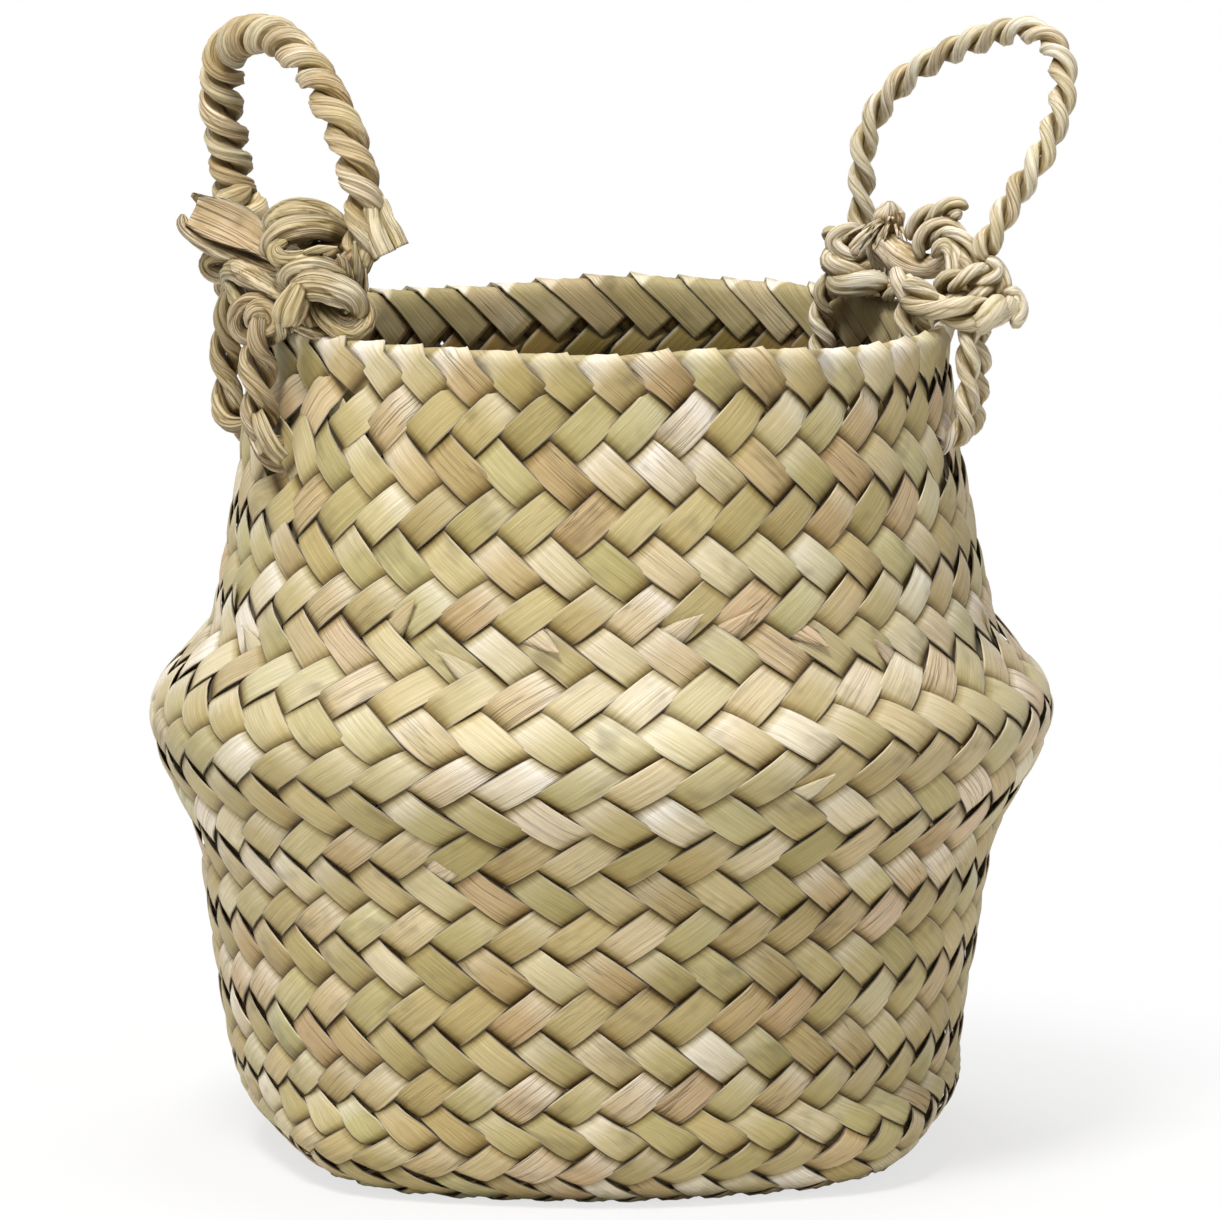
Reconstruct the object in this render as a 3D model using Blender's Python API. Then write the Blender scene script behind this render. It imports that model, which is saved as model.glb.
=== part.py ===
"""A belly basket plaited from flat leaf strips, with a folded belly and two knotted rope handles.

The base mat rests on Z = 0 and the basket's axis is the Z axis. The front of the basket faces -Y.
Lengths are in metres and angles in degrees.
"""

import math

import bmesh
import bpy
from mathutils import Matrix, Vector

for old in list(bpy.data.objects):
    bpy.data.objects.remove(old, do_unlink=True)

# Plaited body: outer radii and the heights where they lie
foot_radius = 0.0720
heel_radius = 0.0885
heel_height = 0.0190
waist_radius = 0.0960
waist_height = 0.0700
fold_start_height = 0.0880
ridge_radius = 0.1100
ridge_height = 0.1095
crease_radius = 0.0945
crease_height = 0.1350
rim_radius = 0.0845
rim_height = 0.2030
neck_bow = 1.5

# Thickness of the plait, of the doubled edge, and the running gap between pieces
wall = 0.0026
rim_width = 0.0044
rim_depth = 0.0060
gap = 0.0003

# Holes that the handle ropes pass through, below the rim
hole_drop = 0.0275
hole_clearance = 0.0012
rope_stand_off = 0.0006

# Faces round the basket and along a rope
body_sides = 60
rope_sides = 12
heel_steps = 6
step_height = 0.0062

# Left handle: darker, thicker rope
left_rope_radius = 0.0052
left_lash_radius = 0.0044
left_tail_radius = 0.0040
left_knot_height = 0.0212
left_loop_rise = 0.0435
left_loop_lean = 0.0055
left_side_lash_turn = 177.0
left_front_lash_turn = 208.0
left_back_leg = (-0.0890, 0.0140)
left_front_leg = (-0.0560, -0.0460)
left_side_knot_place = (-0.0862, 0.0105)
left_side_knot_half = (0.0150, 0.0122)
left_side_knot_turn = 83.0
left_front_knot_place = (-0.0622, -0.0445)
left_front_knot_half = (0.0168, 0.0125)
left_front_knot_turn = -17.0
left_tail_places = (
    (-0.0865, 0.0040, 0.0090),
    (-0.0905, -0.0035, 0.0105),
    (-0.0922, -0.0090, 0.0120),
    (-0.0900, -0.0140, 0.0125),
)
left_loop_shares = (
    (0.00, 0.00, 0.00),
    (0.00, 0.20, 0.20),
    (0.00, 0.40, 0.50),
    (0.02, 0.63, 0.80),
    (0.08, 0.86, 1.00),
    (0.24, 0.985, 1.00),
    (0.46, 1.00, 0.80),
    (0.70, 0.83, 0.55),
    (0.86, 0.58, 0.30),
    (0.95, 0.34, 0.10),
    (0.995, 0.16, 0.00),
    (1.00, 0.00, 0.00),
)

# Right handle: paler, thinner rope
right_rope_radius = 0.0037
right_lash_radius = 0.0036
right_tail_radius = 0.0034
right_knot_height = 0.0162
right_loop_rise = 0.0490
right_loop_lean = 0.0250
right_front_lash_turn = -15.0
right_side_lash_turn = -1.0
right_back_lash_turn = 44.0
right_back_leg = (0.0650, 0.0490)
right_front_leg = (0.0940, -0.0120)
right_front_knot_place = (0.0895, -0.0120)
right_front_knot_half = (0.0165, 0.0130)
right_front_knot_turn = 82.0
right_back_knot_place = (0.0620, 0.0520)
right_back_knot_half = (0.0145, 0.0125)
right_back_knot_turn = 130.0
right_stub_radius = 0.0046
right_stub_places = (
    (0.0715, -0.0215, 0.0112),
    (0.0800, -0.0250, 0.0068),
    (0.0890, -0.0250, 0.0053),
    (0.0975, -0.0200, 0.0053),
)
right_bridge_places = (
    (0.0895, -0.0120, 0.0084),
    (0.0900, -0.0075, 0.0150),
    (0.0868, -0.0015, 0.0208),
    (0.0810, 0.0050, 0.0205),
    (0.0755, 0.0098, 0.0160),
    (0.0716, 0.0132, 0.0160),
    (0.0708, 0.0148, 0.0200),
)
right_tail_places = (
    (0.0780, 0.0110, 0.0195),
    (0.0800, 0.0088, 0.0250),
    (0.0838, 0.0052, 0.0280),
    (0.0880, 0.0018, 0.0288),
)
right_loop_shares = (
    (0.00, 0.00, 0.00),
    (0.00, 0.18, 0.00),
    (0.00, 0.37, 0.02),
    (0.03, 0.55, 0.14),
    (0.12, 0.72, 0.33),
    (0.27, 0.85, 0.55),
    (0.43, 0.94, 0.75),
    (0.60, 1.00, 0.92),
    (0.76, 0.955, 1.00),
    (0.88, 0.81, 0.98),
    (0.95, 0.63, 0.84),
    (0.985, 0.43, 0.60),
    (1.00, 0.22, 0.27),
    (1.00, 0.00, 0.00),
)

# Knots: rope turns on the ball, and how much of the ball is cut flat to sit over the rim
knot_flat_share = 0.60
knot_ridge_share = 0.06
knot_turns = 4
knot_lay = 3.0
knot_sides = 20
knot_rings = 12

# Rope ends: a dome of a few rings
dome_angles = (12.0, 30.0, 50.0, 70.0)

# Loose ends above the knots
bridge_arch_share = 0.72
leaf_length = 0.0232
leaf_width = 0.0125
leaf_neck_width = 0.0060
leaf_thickness = 0.0016
leaf_curl = 0.0030
leaf_rise = 0.0090
leaf_swing = 20.0
leaf_start_share = 0.28
leaf_steps = 8
leaf_strips = 6
frayed_length = 0.0060
frayed_flare_share = 1.10


def leaf_material(name, colour, roughness):
    """A dry leaf or rope finish."""
    material = bpy.data.materials.new(name)
    material.use_nodes = True
    shader = material.node_tree.nodes["Principled BSDF"]
    shader.inputs["Base Color"].default_value = (*colour, 1.0)
    shader.inputs["Roughness"].default_value = roughness
    shader.inputs["Metallic"].default_value = 0.0
    material.diffuse_color = (*colour, 1.0)
    return material


def finish(name, mesh, colour, roughness):
    """Link a mesh as one named piece with its own material, shaded smooth on its round faces."""
    mesh.materials.clear()
    mesh.materials.append(leaf_material(name, colour, roughness))
    mesh.shade_smooth()
    mesh.set_sharp_from_angle(angle=math.radians(40.0))
    piece = bpy.data.objects.new(name, mesh)
    bpy.context.collection.objects.link(piece)
    return piece


def outer_radius(height):
    """Outer radius of the plait above the heel."""
    if height <= waist_height:
        share = (height - heel_height) / (waist_height - heel_height)
        return heel_radius + (waist_radius - heel_radius) * share
    if height <= ridge_height:
        share = (height - waist_height) / (ridge_height - waist_height)
        return waist_radius + (ridge_radius - waist_radius) * share * share * (3 - 2 * share)
    if height <= crease_height:
        share = (height - ridge_height) / (crease_height - ridge_height)
        return ridge_radius + (crease_radius - ridge_radius) * share * share * (3 - 2 * share)
    share = min((height - crease_height) / (rim_height - crease_height), 1.0)
    return rim_radius + (crease_radius - rim_radius) * (1 - share) ** neck_bow


def wall_line(low, high):
    """Points (radius, height) up the outside of the plait between two heights."""
    steps = max(2, round((high - low) / step_height))
    heights = [low + (high - low) * i / steps for i in range(steps + 1)]
    return [(outer_radius(height), height) for height in heights]


def heel_line():
    """The rounded turn-up from the foot to the lower wall."""
    points = []
    for i in range(heel_steps):
        turn = math.radians(90.0) * i / heel_steps
        radius = foot_radius + (heel_radius - foot_radius) * math.sin(turn)
        points.append((radius, heel_height * (1 - math.cos(turn))))
    return points


def thicken(line, thickness):
    """Close an outer line into a section by stepping in along its normals."""
    inner = []
    for i, (radius, height) in enumerate(line):
        before = line[max(i - 1, 0)]
        after = line[min(i + 1, len(line) - 1)]
        along = Vector((after[0] - before[0], after[1] - before[1])).normalized()
        inner_radius = max(radius - along.y * thickness, foot_radius)
        inner.append((inner_radius, height + along.x * thickness))
    return line + inner[::-1]


def turned(name, section, colour, roughness):
    """Turn a closed section (radius, height) round the basket's axis."""
    bm = bmesh.new()
    points = [bm.verts.new((radius, 0, height)) for radius, height in section]
    edges = [bm.edges.new((a, b)) for a, b in zip(points, points[1:] + points[:1])]
    bmesh.ops.spin(
        bm,
        geom=points + edges,
        axis=(0, 0, 1),
        cent=(0, 0, 0),
        angle=math.radians(360.0),
        steps=body_sides,
        use_merge=True,
    )
    bmesh.ops.remove_doubles(bm, verts=bm.verts, dist=wall * 0.001)
    bmesh.ops.recalc_face_normals(bm, faces=bm.faces)
    mesh = bpy.data.meshes.new(name)
    bm.to_mesh(mesh)
    bm.free()
    return finish(name, mesh, colour, roughness)


def smooth_route(points, pieces):
    """A curve through the points, with the same number of pieces between each two."""
    route = []
    for i in range(len(points) - 1):
        a, b = points[i], points[i + 1]
        before = points[i - 1] if i else a + (a - b)
        after = points[i + 2] if i + 2 < len(points) else b + (b - a)
        for k in range(pieces):
            t = k / pieces
            route.append(
                0.5
                * (
                    2 * a
                    + (b - before) * t
                    + (2 * before - 5 * a + 4 * b - after) * t * t
                    + (3 * a - before - 3 * b + after) * t * t * t
                )
            )
    return route + [points[-1]]


def rope(name, route, radius, colour, roughness, domes=(False, False), flare=1.0):
    """A round rope along a route, as a mesh, with a dome or a flat cut at each end."""
    shares = [1.0 + (flare - 1.0) * i / (len(route) - 1) for i in range(len(route))]
    stops = list(zip(route, shares))
    if domes[1]:
        out = (route[-1] - route[-2]).normalized()
        reach = [math.radians(angle) for angle in dome_angles]
        stops += [(route[-1] + out * radius * math.sin(a), math.cos(a)) for a in reach]
        stops.append((route[-1] + out * radius, 0.05))
    if domes[0]:
        out = (route[0] - route[1]).normalized()
        reach = [math.radians(angle) for angle in dome_angles]
        start = [(route[0] + out * radius * math.sin(a), math.cos(a)) for a in reach]
        start.append((route[0] + out * radius, 0.05))
        stops = start[::-1] + stops
    curve = bpy.data.curves.new(name + "_route", "CURVE")
    curve.dimensions = "3D"
    curve.bevel_depth = radius
    curve.bevel_resolution = (rope_sides - 4) // 2
    curve.use_fill_caps = True
    spline = curve.splines.new("POLY")
    spline.points.add(len(stops) - 1)
    for point, (place, share) in zip(spline.points, stops):
        point.co = (*place, 1.0)
        point.radius = share
    guide = bpy.data.objects.new(name + "_route", curve)
    bpy.context.collection.objects.link(guide)
    bpy.context.view_layer.update()
    evaluated = guide.evaluated_get(bpy.context.evaluated_depsgraph_get())
    mesh = bpy.data.meshes.new_from_object(evaluated)
    mesh.name = name
    bpy.data.objects.remove(guide, do_unlink=True)
    weld(mesh, radius * 0.001)
    return finish(name, mesh, colour, roughness)


def weld(mesh, distance):
    """Join the points that lie together and turn every face out."""
    bm = bmesh.new()
    bm.from_mesh(mesh)
    bmesh.ops.remove_doubles(bm, verts=bm.verts, dist=distance)
    bmesh.ops.recalc_face_normals(bm, faces=bm.faces)
    bm.to_mesh(mesh)
    bm.free()


def knot_mesh(name, half, height, grow):
    """A ball of rope turns with a flat underside at Z = 0, grown all round by a distance."""
    rise = height / (1.0 + knot_flat_share)
    bm = bmesh.new()
    bmesh.ops.create_uvsphere(bm, u_segments=knot_sides, v_segments=knot_rings, radius=1.0)
    for vert in bm.verts:
        place = vert.co.copy()
        place.z = max(place.z, -knot_flat_share)
        turn = math.atan2(place.y, place.x)
        ridge = 1.0 + knot_ridge_share * math.cos(knot_turns * turn + knot_lay * place.z)
        vert.co.x = place.x * ridge * (half[0] + grow)
        vert.co.y = place.y * ridge * (half[1] + grow)
        level = place.z + knot_flat_share
        vert.co.z = level * (rise + 2 * grow / (1.0 + knot_flat_share)) - grow
    bmesh.ops.recalc_face_normals(bm, faces=bm.faces)
    mesh = bpy.data.meshes.new(name)
    bm.to_mesh(mesh)
    bm.free()
    return mesh


def knot(name, place, half, turn, height, colour, roughness):
    """A knot seated over the rim."""
    piece = finish(name, knot_mesh(name, half, height, 0), colour, roughness)
    piece.location = (*place, rim_height + gap)
    piece.rotation_euler.z = math.radians(turn)
    return piece


def knot_cutter(name, place, half, turn, height):
    """The room that a knot takes, with the running gap round it."""
    cutter = bpy.data.objects.new(name + "_room", knot_mesh(name + "_room", half, height, gap * 2))
    bpy.context.collection.objects.link(cutter)
    cutter.location = (*place, rim_height + gap)
    cutter.rotation_euler.z = math.radians(turn)
    cutter.hide_render = True
    cutter.display_type = "WIRE"
    return cutter


def rope_cutter(name, route, radius, domes=(False, False)):
    """The room that a rope takes, with the running gap round it."""
    room = radius + gap * 2
    cutter = rope(name + "_room", route, room, left_colour, rope_roughness, domes=domes)
    cutter.hide_render = True
    cutter.display_type = "WIRE"
    return cutter


def cut(piece, *cutters):
    """Take the room of each neighbour out of a piece."""
    for cutter in cutters:
        modifier = piece.modifiers.new("clear_of_" + cutter.name, "BOOLEAN")
        modifier.operation = "DIFFERENCE"
        modifier.solver = "EXACT"
        modifier.object = cutter


def round_axis(radius, turn, height):
    """A point at a radius and turn round the basket's axis."""
    angle = math.radians(turn)
    return Vector((radius * math.cos(angle), radius * math.sin(angle), height))


def lash_route(turn, radius):
    """Down outside the wall, in through the hole and up the inside, as points and the hole's middle."""
    hole_height = rim_height - hole_drop
    top = rim_height
    outside = outer_radius(hole_height) + rope_stand_off + radius
    inside = rim_radius - wall - (rim_width - wall) / 2 - rope_stand_off - radius
    bend = (outside - inside) / 2
    middle = (outside + inside) / 2
    start = hole_height + bend
    route = [round_axis(outside, turn, top), round_axis(outside, turn, (top + start) / 2)]
    for i in range(13):
        angle = math.pi * i / 12
        route.append(
            round_axis(middle + bend * math.cos(angle), turn, start - bend * math.sin(angle))
        )
    route += [round_axis(inside, turn, (top + start) / 2), round_axis(inside, turn, top)]
    return route


def hole_cutter(name, turn, radius):
    """A round hole through the neck wall for a lashing."""
    bm = bmesh.new()
    bmesh.ops.create_cone(
        bm,
        cap_ends=True,
        segments=16,
        radius1=radius + hole_clearance,
        radius2=radius + hole_clearance,
        depth=wall * 8,
    )
    mesh = bpy.data.meshes.new(name)
    bm.to_mesh(mesh)
    bm.free()
    cutter = bpy.data.objects.new(name, mesh)
    bpy.context.collection.objects.link(cutter)
    height = rim_height - hole_drop
    aim = Matrix.Rotation(math.radians(turn), 4, "Z") @ Matrix.Rotation(math.radians(90.0), 4, "Y")
    cutter.matrix_world = Matrix.Translation(round_axis(outer_radius(height), turn, height)) @ aim
    cutter.hide_render = True
    cutter.display_type = "WIRE"
    return cutter


def loop_route(start, end, axis_height, rise, lean, shares):
    """A handle's rope from leg to leg, its ends on the hinge axis."""
    foot = Vector((*start, axis_height))
    along = Vector((*end, axis_height)) - foot
    outward = Vector((along.y, -along.x, 0)).normalized()
    if outward.dot(foot) < 0:
        outward.negate()
    up = Vector((0, 0, 1))
    points = [foot + along * a + up * rise * b + outward * lean * c for a, b, c in shares]
    return smooth_route(points, 3)


leaf_colour = (0.58, 0.50, 0.29)
inside_colour = (0.46, 0.39, 0.20)
left_colour = (0.42, 0.33, 0.19)
right_colour = (0.66, 0.56, 0.38)
leaf_roughness = 0.62
rope_roughness = 0.70


def make_body():
    """The base mat, the walls up to the rim, and the folded edge."""
    mat_radius = foot_radius - gap
    mat_section = [(mat_radius, 0), (mat_radius, wall), (0, wall), (0, 0)]
    turned("base_mat", mat_section, inside_colour, leaf_roughness)
    lower = heel_line() + wall_line(heel_height, fold_start_height)
    turned("lower_wall", thicken(lower, wall), leaf_colour, leaf_roughness)
    fold = wall_line(fold_start_height + gap, crease_height - gap)
    turned("belly_fold", thicken(fold, wall), leaf_colour, leaf_roughness)
    neck_top = rim_height - rim_depth - gap
    neck = turned(
        "neck_wall", thicken(wall_line(crease_height, neck_top), wall), leaf_colour, leaf_roughness
    )
    middle = rim_radius - wall / 2
    half = rim_width / 2
    shoulder = rim_height - half
    section = [(middle + half, neck_top + gap), (middle + half, shoulder)]
    for angle in (30.0, 60.0, 90.0, 120.0, 150.0):
        turn = math.radians(angle)
        section.append((middle + half * math.cos(turn), shoulder + half * math.sin(turn)))
    section += [(middle - half, shoulder), (middle - half, neck_top + gap)]
    turned("rim_border", section, leaf_colour, leaf_roughness)
    return neck


def make_lashing(name, turn, radius, colour, neck):
    """One rope turn through the neck wall, and its hole."""
    rope(name, lash_route(turn, radius), radius, colour, rope_roughness)
    cut(neck, hole_cutter(name + "_hole", turn, radius))


def arch(start, end, rise, low):
    """A short rope route that leaves one knot, rises and comes down into the next."""
    begin, stop = Vector((*start, low)), Vector((*end, low))
    up = Vector((0, 0, rise))
    points = [
        begin,
        begin.lerp(stop, 0.25) + up * bridge_arch_share,
        begin.lerp(stop, 0.5) + up,
        begin.lerp(stop, 0.75) + up * bridge_arch_share,
        stop,
    ]
    return smooth_route(points, 5)


def rim_places(places):
    """A smooth route through places given as X, Y and the height above the rim."""
    return smooth_route([Vector((x, y, rim_height + height)) for x, y, height in places], 5)


def rim_route(first_turn, last_turn, radius):
    """A rope that lies on the rim from one turn to another."""
    height = rim_height + gap + radius
    middle = rim_radius - wall / 2
    steps = 12
    turns = [first_turn + (last_turn - first_turn) * i / steps for i in range(steps + 1)]
    return [round_axis(middle, turn, height) for turn in turns]


def make_left_handle(neck):
    """The thicker handle: a loop on two knots, two lashings and the loose ends of its rope."""
    knot_top = rim_height + gap + left_knot_height
    axis_height = knot_top + gap + left_rope_radius
    route = loop_route(
        left_back_leg, left_front_leg, axis_height, left_loop_rise, left_loop_lean, left_loop_shares
    )
    rope("left_loop", route, left_rope_radius, left_colour, rope_roughness, domes=(True, True))
    side = (left_side_knot_place, left_side_knot_half, left_side_knot_turn, left_knot_height)
    front = (left_front_knot_place, left_front_knot_half, left_front_knot_turn, left_knot_height)
    knot("left_side_knot", *side, left_colour, rope_roughness)
    knot("left_front_knot", *front, left_colour, rope_roughness)
    rooms = (knot_cutter("left_side_knot", *side), knot_cutter("left_front_knot", *front))
    make_lashing("left_side_lashing", left_side_lash_turn, left_lash_radius, left_colour, neck)
    make_lashing("left_front_lashing", left_front_lash_turn, left_lash_radius, left_colour, neck)
    low = rim_height + gap + left_knot_height / 2
    rise = left_knot_height / 2
    bridge_route = arch(left_side_knot_place, left_front_knot_place, rise, low)
    bridge = rope("left_bridge", bridge_route, left_lash_radius, left_colour, rope_roughness)
    cut(bridge, *rooms)
    first = math.degrees(math.atan2(left_side_knot_place[1], left_side_knot_place[0]))
    last = math.degrees(math.atan2(left_front_knot_place[1], left_front_knot_place[0])) + 360.0
    cross = rope(
        "left_cross_rope",
        rim_route(first, last, left_tail_radius),
        left_tail_radius,
        left_colour,
        rope_roughness,
    )
    cut(cross, *rooms)
    tail = rope(
        "left_tail",
        rim_places(left_tail_places),
        left_tail_radius,
        left_colour,
        rope_roughness,
        domes=(False, True),
    )
    cut(tail, rooms[0])
    out = Vector((*left_side_knot_place, 0)).normalized()
    leaf_way = Matrix.Rotation(math.radians(leaf_swing), 3, "Z") @ out
    leaf = make_leaf_end(bridge_route[round(len(bridge_route) * leaf_start_share)], leaf_way)
    bridge_room = rope_cutter("left_bridge", bridge_route, left_lash_radius)
    cut(leaf, rooms[0], bridge_room)


def make_leaf_end(start, out):
    """The flat end of a strand, opened like a leaf, that stands out beside the side knot."""
    side_way = Vector((-out.y, out.x, 0))
    bm = bmesh.new()
    rows = []
    for i in range(leaf_steps + 1):
        share = i / leaf_steps
        half = (leaf_neck_width + (leaf_width - leaf_neck_width) * math.sin(share * 2.2)) / 2
        spine = start + out * leaf_length * share + Vector((0, 0, leaf_rise * share))
        row = []
        for k in range(leaf_strips + 1):
            across = 2 * k / leaf_strips - 1
            curl = side_way * leaf_curl * across * across * share
            row.append(bm.verts.new(spine + Vector((0, 0, half * across)) + curl))
        rows.append(row)
    for low, high in zip(rows, rows[1:]):
        for k in range(leaf_strips):
            bm.faces.new((low[k], low[k + 1], high[k + 1], high[k]))
    mesh = bpy.data.meshes.new("left_leaf_end")
    bm.to_mesh(mesh)
    bm.free()
    leaf = finish("left_leaf_end", mesh, left_colour, rope_roughness)
    solid = leaf.modifiers.new("leaf_thickness", "SOLIDIFY")
    solid.thickness = leaf_thickness
    solid.offset = 0
    return leaf


def make_right_handle(neck):
    """The thinner handle: a leaning loop on two knots, three lashings and the ends of its rope."""
    knot_top = rim_height + gap + right_knot_height
    axis_height = knot_top + gap + right_rope_radius
    route = loop_route(
        right_back_leg,
        right_front_leg,
        axis_height,
        right_loop_rise,
        right_loop_lean,
        right_loop_shares,
    )
    rope("right_loop", route, right_rope_radius, right_colour, rope_roughness, domes=(True, True))
    front = (right_front_knot_place, right_front_knot_half, right_front_knot_turn, right_knot_height)
    back = (right_back_knot_place, right_back_knot_half, right_back_knot_turn, right_knot_height)
    front_knot = knot("right_front_knot", *front, right_colour, rope_roughness)
    knot("right_back_knot", *back, right_colour, rope_roughness)
    rooms = (knot_cutter("right_front_knot", *front), knot_cutter("right_back_knot", *back))
    stub_route = rim_places(right_stub_places)
    stub_domes = (True, True)
    rope("right_stub", stub_route, right_stub_radius, right_colour, rope_roughness, domes=stub_domes)
    cut(front_knot, rope_cutter("right_stub", stub_route, right_stub_radius, stub_domes))
    lashes = (
        ("right_front_lashing", right_front_lash_turn),
        ("right_side_lashing", right_side_lash_turn),
        ("right_back_lashing", right_back_lash_turn),
    )
    for name, turn in lashes:
        make_lashing(name, turn, right_lash_radius, right_colour, neck)
    first = math.degrees(math.atan2(right_front_knot_place[1], right_front_knot_place[0]))
    last = math.degrees(math.atan2(right_back_knot_place[1], right_back_knot_place[0]))
    cross = rope(
        "right_cross_rope",
        rim_route(first, last, right_tail_radius),
        right_tail_radius,
        right_colour,
        rope_roughness,
    )
    cut(cross, *rooms)
    bridge_route = rim_places(right_bridge_places)
    bridge = rope("right_bridge", bridge_route, right_lash_radius, right_colour, rope_roughness)
    cut(bridge, rooms[0])
    way = (bridge_route[-1] - bridge_route[-2]).normalized()
    fray_start = bridge_route[-1] + way * gap
    fray_route = [fray_start + way * frayed_length * i / 4 for i in range(5)]
    rope(
        "right_frayed_end",
        fray_route,
        right_lash_radius,
        right_colour,
        rope_roughness,
        domes=(False, True),
        flare=frayed_flare_share,
    )
    tail = rope(
        "right_tail",
        rim_places(right_tail_places),
        right_tail_radius,
        right_colour,
        rope_roughness,
        domes=(False, True),
    )
    cut(tail, rope_cutter("right_bridge", bridge_route, right_lash_radius))


neck_wall = make_body()
make_left_handle(neck_wall)
make_right_handle(neck_wall)
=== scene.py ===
import math

import bpy
import numpy as np
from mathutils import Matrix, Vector
from mathutils.bvhtree import BVHTree


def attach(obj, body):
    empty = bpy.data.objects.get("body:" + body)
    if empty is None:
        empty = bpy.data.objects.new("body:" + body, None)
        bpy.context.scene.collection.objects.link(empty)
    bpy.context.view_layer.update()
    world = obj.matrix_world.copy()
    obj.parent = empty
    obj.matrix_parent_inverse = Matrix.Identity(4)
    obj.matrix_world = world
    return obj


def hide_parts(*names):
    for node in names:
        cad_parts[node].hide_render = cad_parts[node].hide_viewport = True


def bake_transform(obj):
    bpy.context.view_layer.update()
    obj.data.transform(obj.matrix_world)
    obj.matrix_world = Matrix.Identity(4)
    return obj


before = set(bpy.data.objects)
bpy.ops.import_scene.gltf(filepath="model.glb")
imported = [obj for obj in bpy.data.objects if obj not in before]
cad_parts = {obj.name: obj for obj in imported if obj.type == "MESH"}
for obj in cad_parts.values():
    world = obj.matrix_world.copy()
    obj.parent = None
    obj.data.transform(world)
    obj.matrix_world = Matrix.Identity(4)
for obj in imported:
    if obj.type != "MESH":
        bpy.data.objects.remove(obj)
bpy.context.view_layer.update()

# Studio: a plain white floor that runs on out of sight, and soft lamps above and in front.
# None of it belongs to the basket.
floor_half = 6.0
shadow_start, shadow_end, shadow_glow = 0.09, 0.26, 0.72
scene = bpy.context.scene
scene.view_settings.view_transform = "Standard"


def add_node(tree, kind, *feeds, **settings):
    """Adds a node, sets its named settings, and fills its input slots with links or values."""
    made = tree.nodes.new(kind)
    for key, value in settings.items():
        setattr(made, key, value)
    for slot, feed in feeds:
        if isinstance(feed, bpy.types.NodeSocket):
            tree.links.new(feed, made.inputs[slot])
        else:
            made.inputs[slot].default_value = feed
    return made


def math_node(tree, kind, first, second=0.0, third=None, clamp=False):
    """One sum in a node tree."""
    feeds = [(0, first), (1, second)] + ([(2, third)] if third is not None else [])
    return add_node(tree, "ShaderNodeMath", *feeds, operation=kind, use_clamp=clamp).outputs[0]


def empty_tree(owner):
    """The cleared node tree of a material or a world."""
    owner.use_nodes = True
    owner.node_tree.nodes.clear()
    return owner.node_tree


def aimed(place, target):
    """The turn that points a lamp or the camera from its place at a target."""
    return (Vector(target) - Vector(place)).to_track_quat("-Z", "Y").to_euler()


floor_mesh = bpy.data.meshes.new("studio_floor")
floor_mesh.from_pydata([(-floor_half, -floor_half, 0), (floor_half, -floor_half, 0),
                        (floor_half, floor_half, 0), (-floor_half, floor_half, 0)], [], [(0, 1, 2, 3)])
floor = bpy.data.objects.new("studio_floor", floor_mesh)
scene.collection.objects.link(floor)
floor_paint = bpy.data.materials.new("white_studio_floor")
tree = empty_tree(floor_paint)
floor_matt = add_node(tree, "ShaderNodeBsdfDiffuse", ("Color", (0.86, 0.86, 0.85, 1))).outputs[0]
floor_glow = add_node(tree, "ShaderNodeEmission", ("Strength", 1.0)).outputs[0]
floor_place = add_node(tree, "ShaderNodeTexCoord").outputs["Object"]
from_middle = add_node(tree, "ShaderNodeVectorMath", (0, floor_place), operation="LENGTH").outputs["Value"]
fade = add_node(tree, "ShaderNodeMapRange", ("Value", from_middle), ("From Min", shadow_start),
                ("From Max", shadow_end), ("To Min", shadow_glow), ("To Max", 1.0),
                interpolation_type="SMOOTHSTEP").outputs["Result"]
seen = add_node(tree, "ShaderNodeLightPath").outputs
glow_share = math_node(tree, "MULTIPLY", seen["Is Camera Ray"], fade)
floor_mix = add_node(tree, "ShaderNodeMixShader", ("Fac", glow_share), (1, floor_matt), (2, floor_glow))
add_node(tree, "ShaderNodeOutputMaterial", ("Surface", floor_mix.outputs[0]))
floor_mesh.materials.append(floor_paint)

world = bpy.data.worlds.new("white_studio")
scene.world = world
tree = empty_tree(world)
room_light = add_node(tree, "ShaderNodeBackground", ("Strength", 0.20)).outputs[0]
white_wall = add_node(tree, "ShaderNodeBackground", ("Color", (1, 1, 1, 1))).outputs[0]
seen = add_node(tree, "ShaderNodeLightPath").outputs
in_view = math_node(tree, "MAXIMUM", seen["Is Camera Ray"], seen["Is Glossy Ray"])
in_view = math_node(tree, "MAXIMUM", in_view, seen["Is Transmission Ray"])
room_mix = add_node(tree, "ShaderNodeMixShader", ("Fac", in_view), (1, room_light), (2, white_wall))
add_node(tree, "ShaderNodeOutputWorld", ("Surface", room_mix.outputs[0]))

lamps_aim = (0, 0, 0.13)
for lamp_name, lamp_place, lamp_size, lamp_watts in (
        ("overhead_front_lamp", (-0.42, -0.92, 1.80), 0.5, 33.0),
        ("top_lamp", (0.10, 0.25, 1.7), 0.7, 10.0),
        ("left_fill_lamp", (-1.5, -0.9, 0.55), 0.9, 3.0),
        ("right_fill_lamp", (1.5, -0.7, 0.6), 0.9, 2.2)):
    lamp = bpy.data.lights.new(lamp_name, "AREA")
    lamp.size = lamp_size
    lamp.energy = lamp_watts
    lamp_object = bpy.data.objects.new(lamp_name, lamp)
    lamp_object.location = lamp_place
    lamp_object.rotation_euler = aimed(lamp_place, lamps_aim)
    scene.collection.objects.link(lamp_object)

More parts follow.
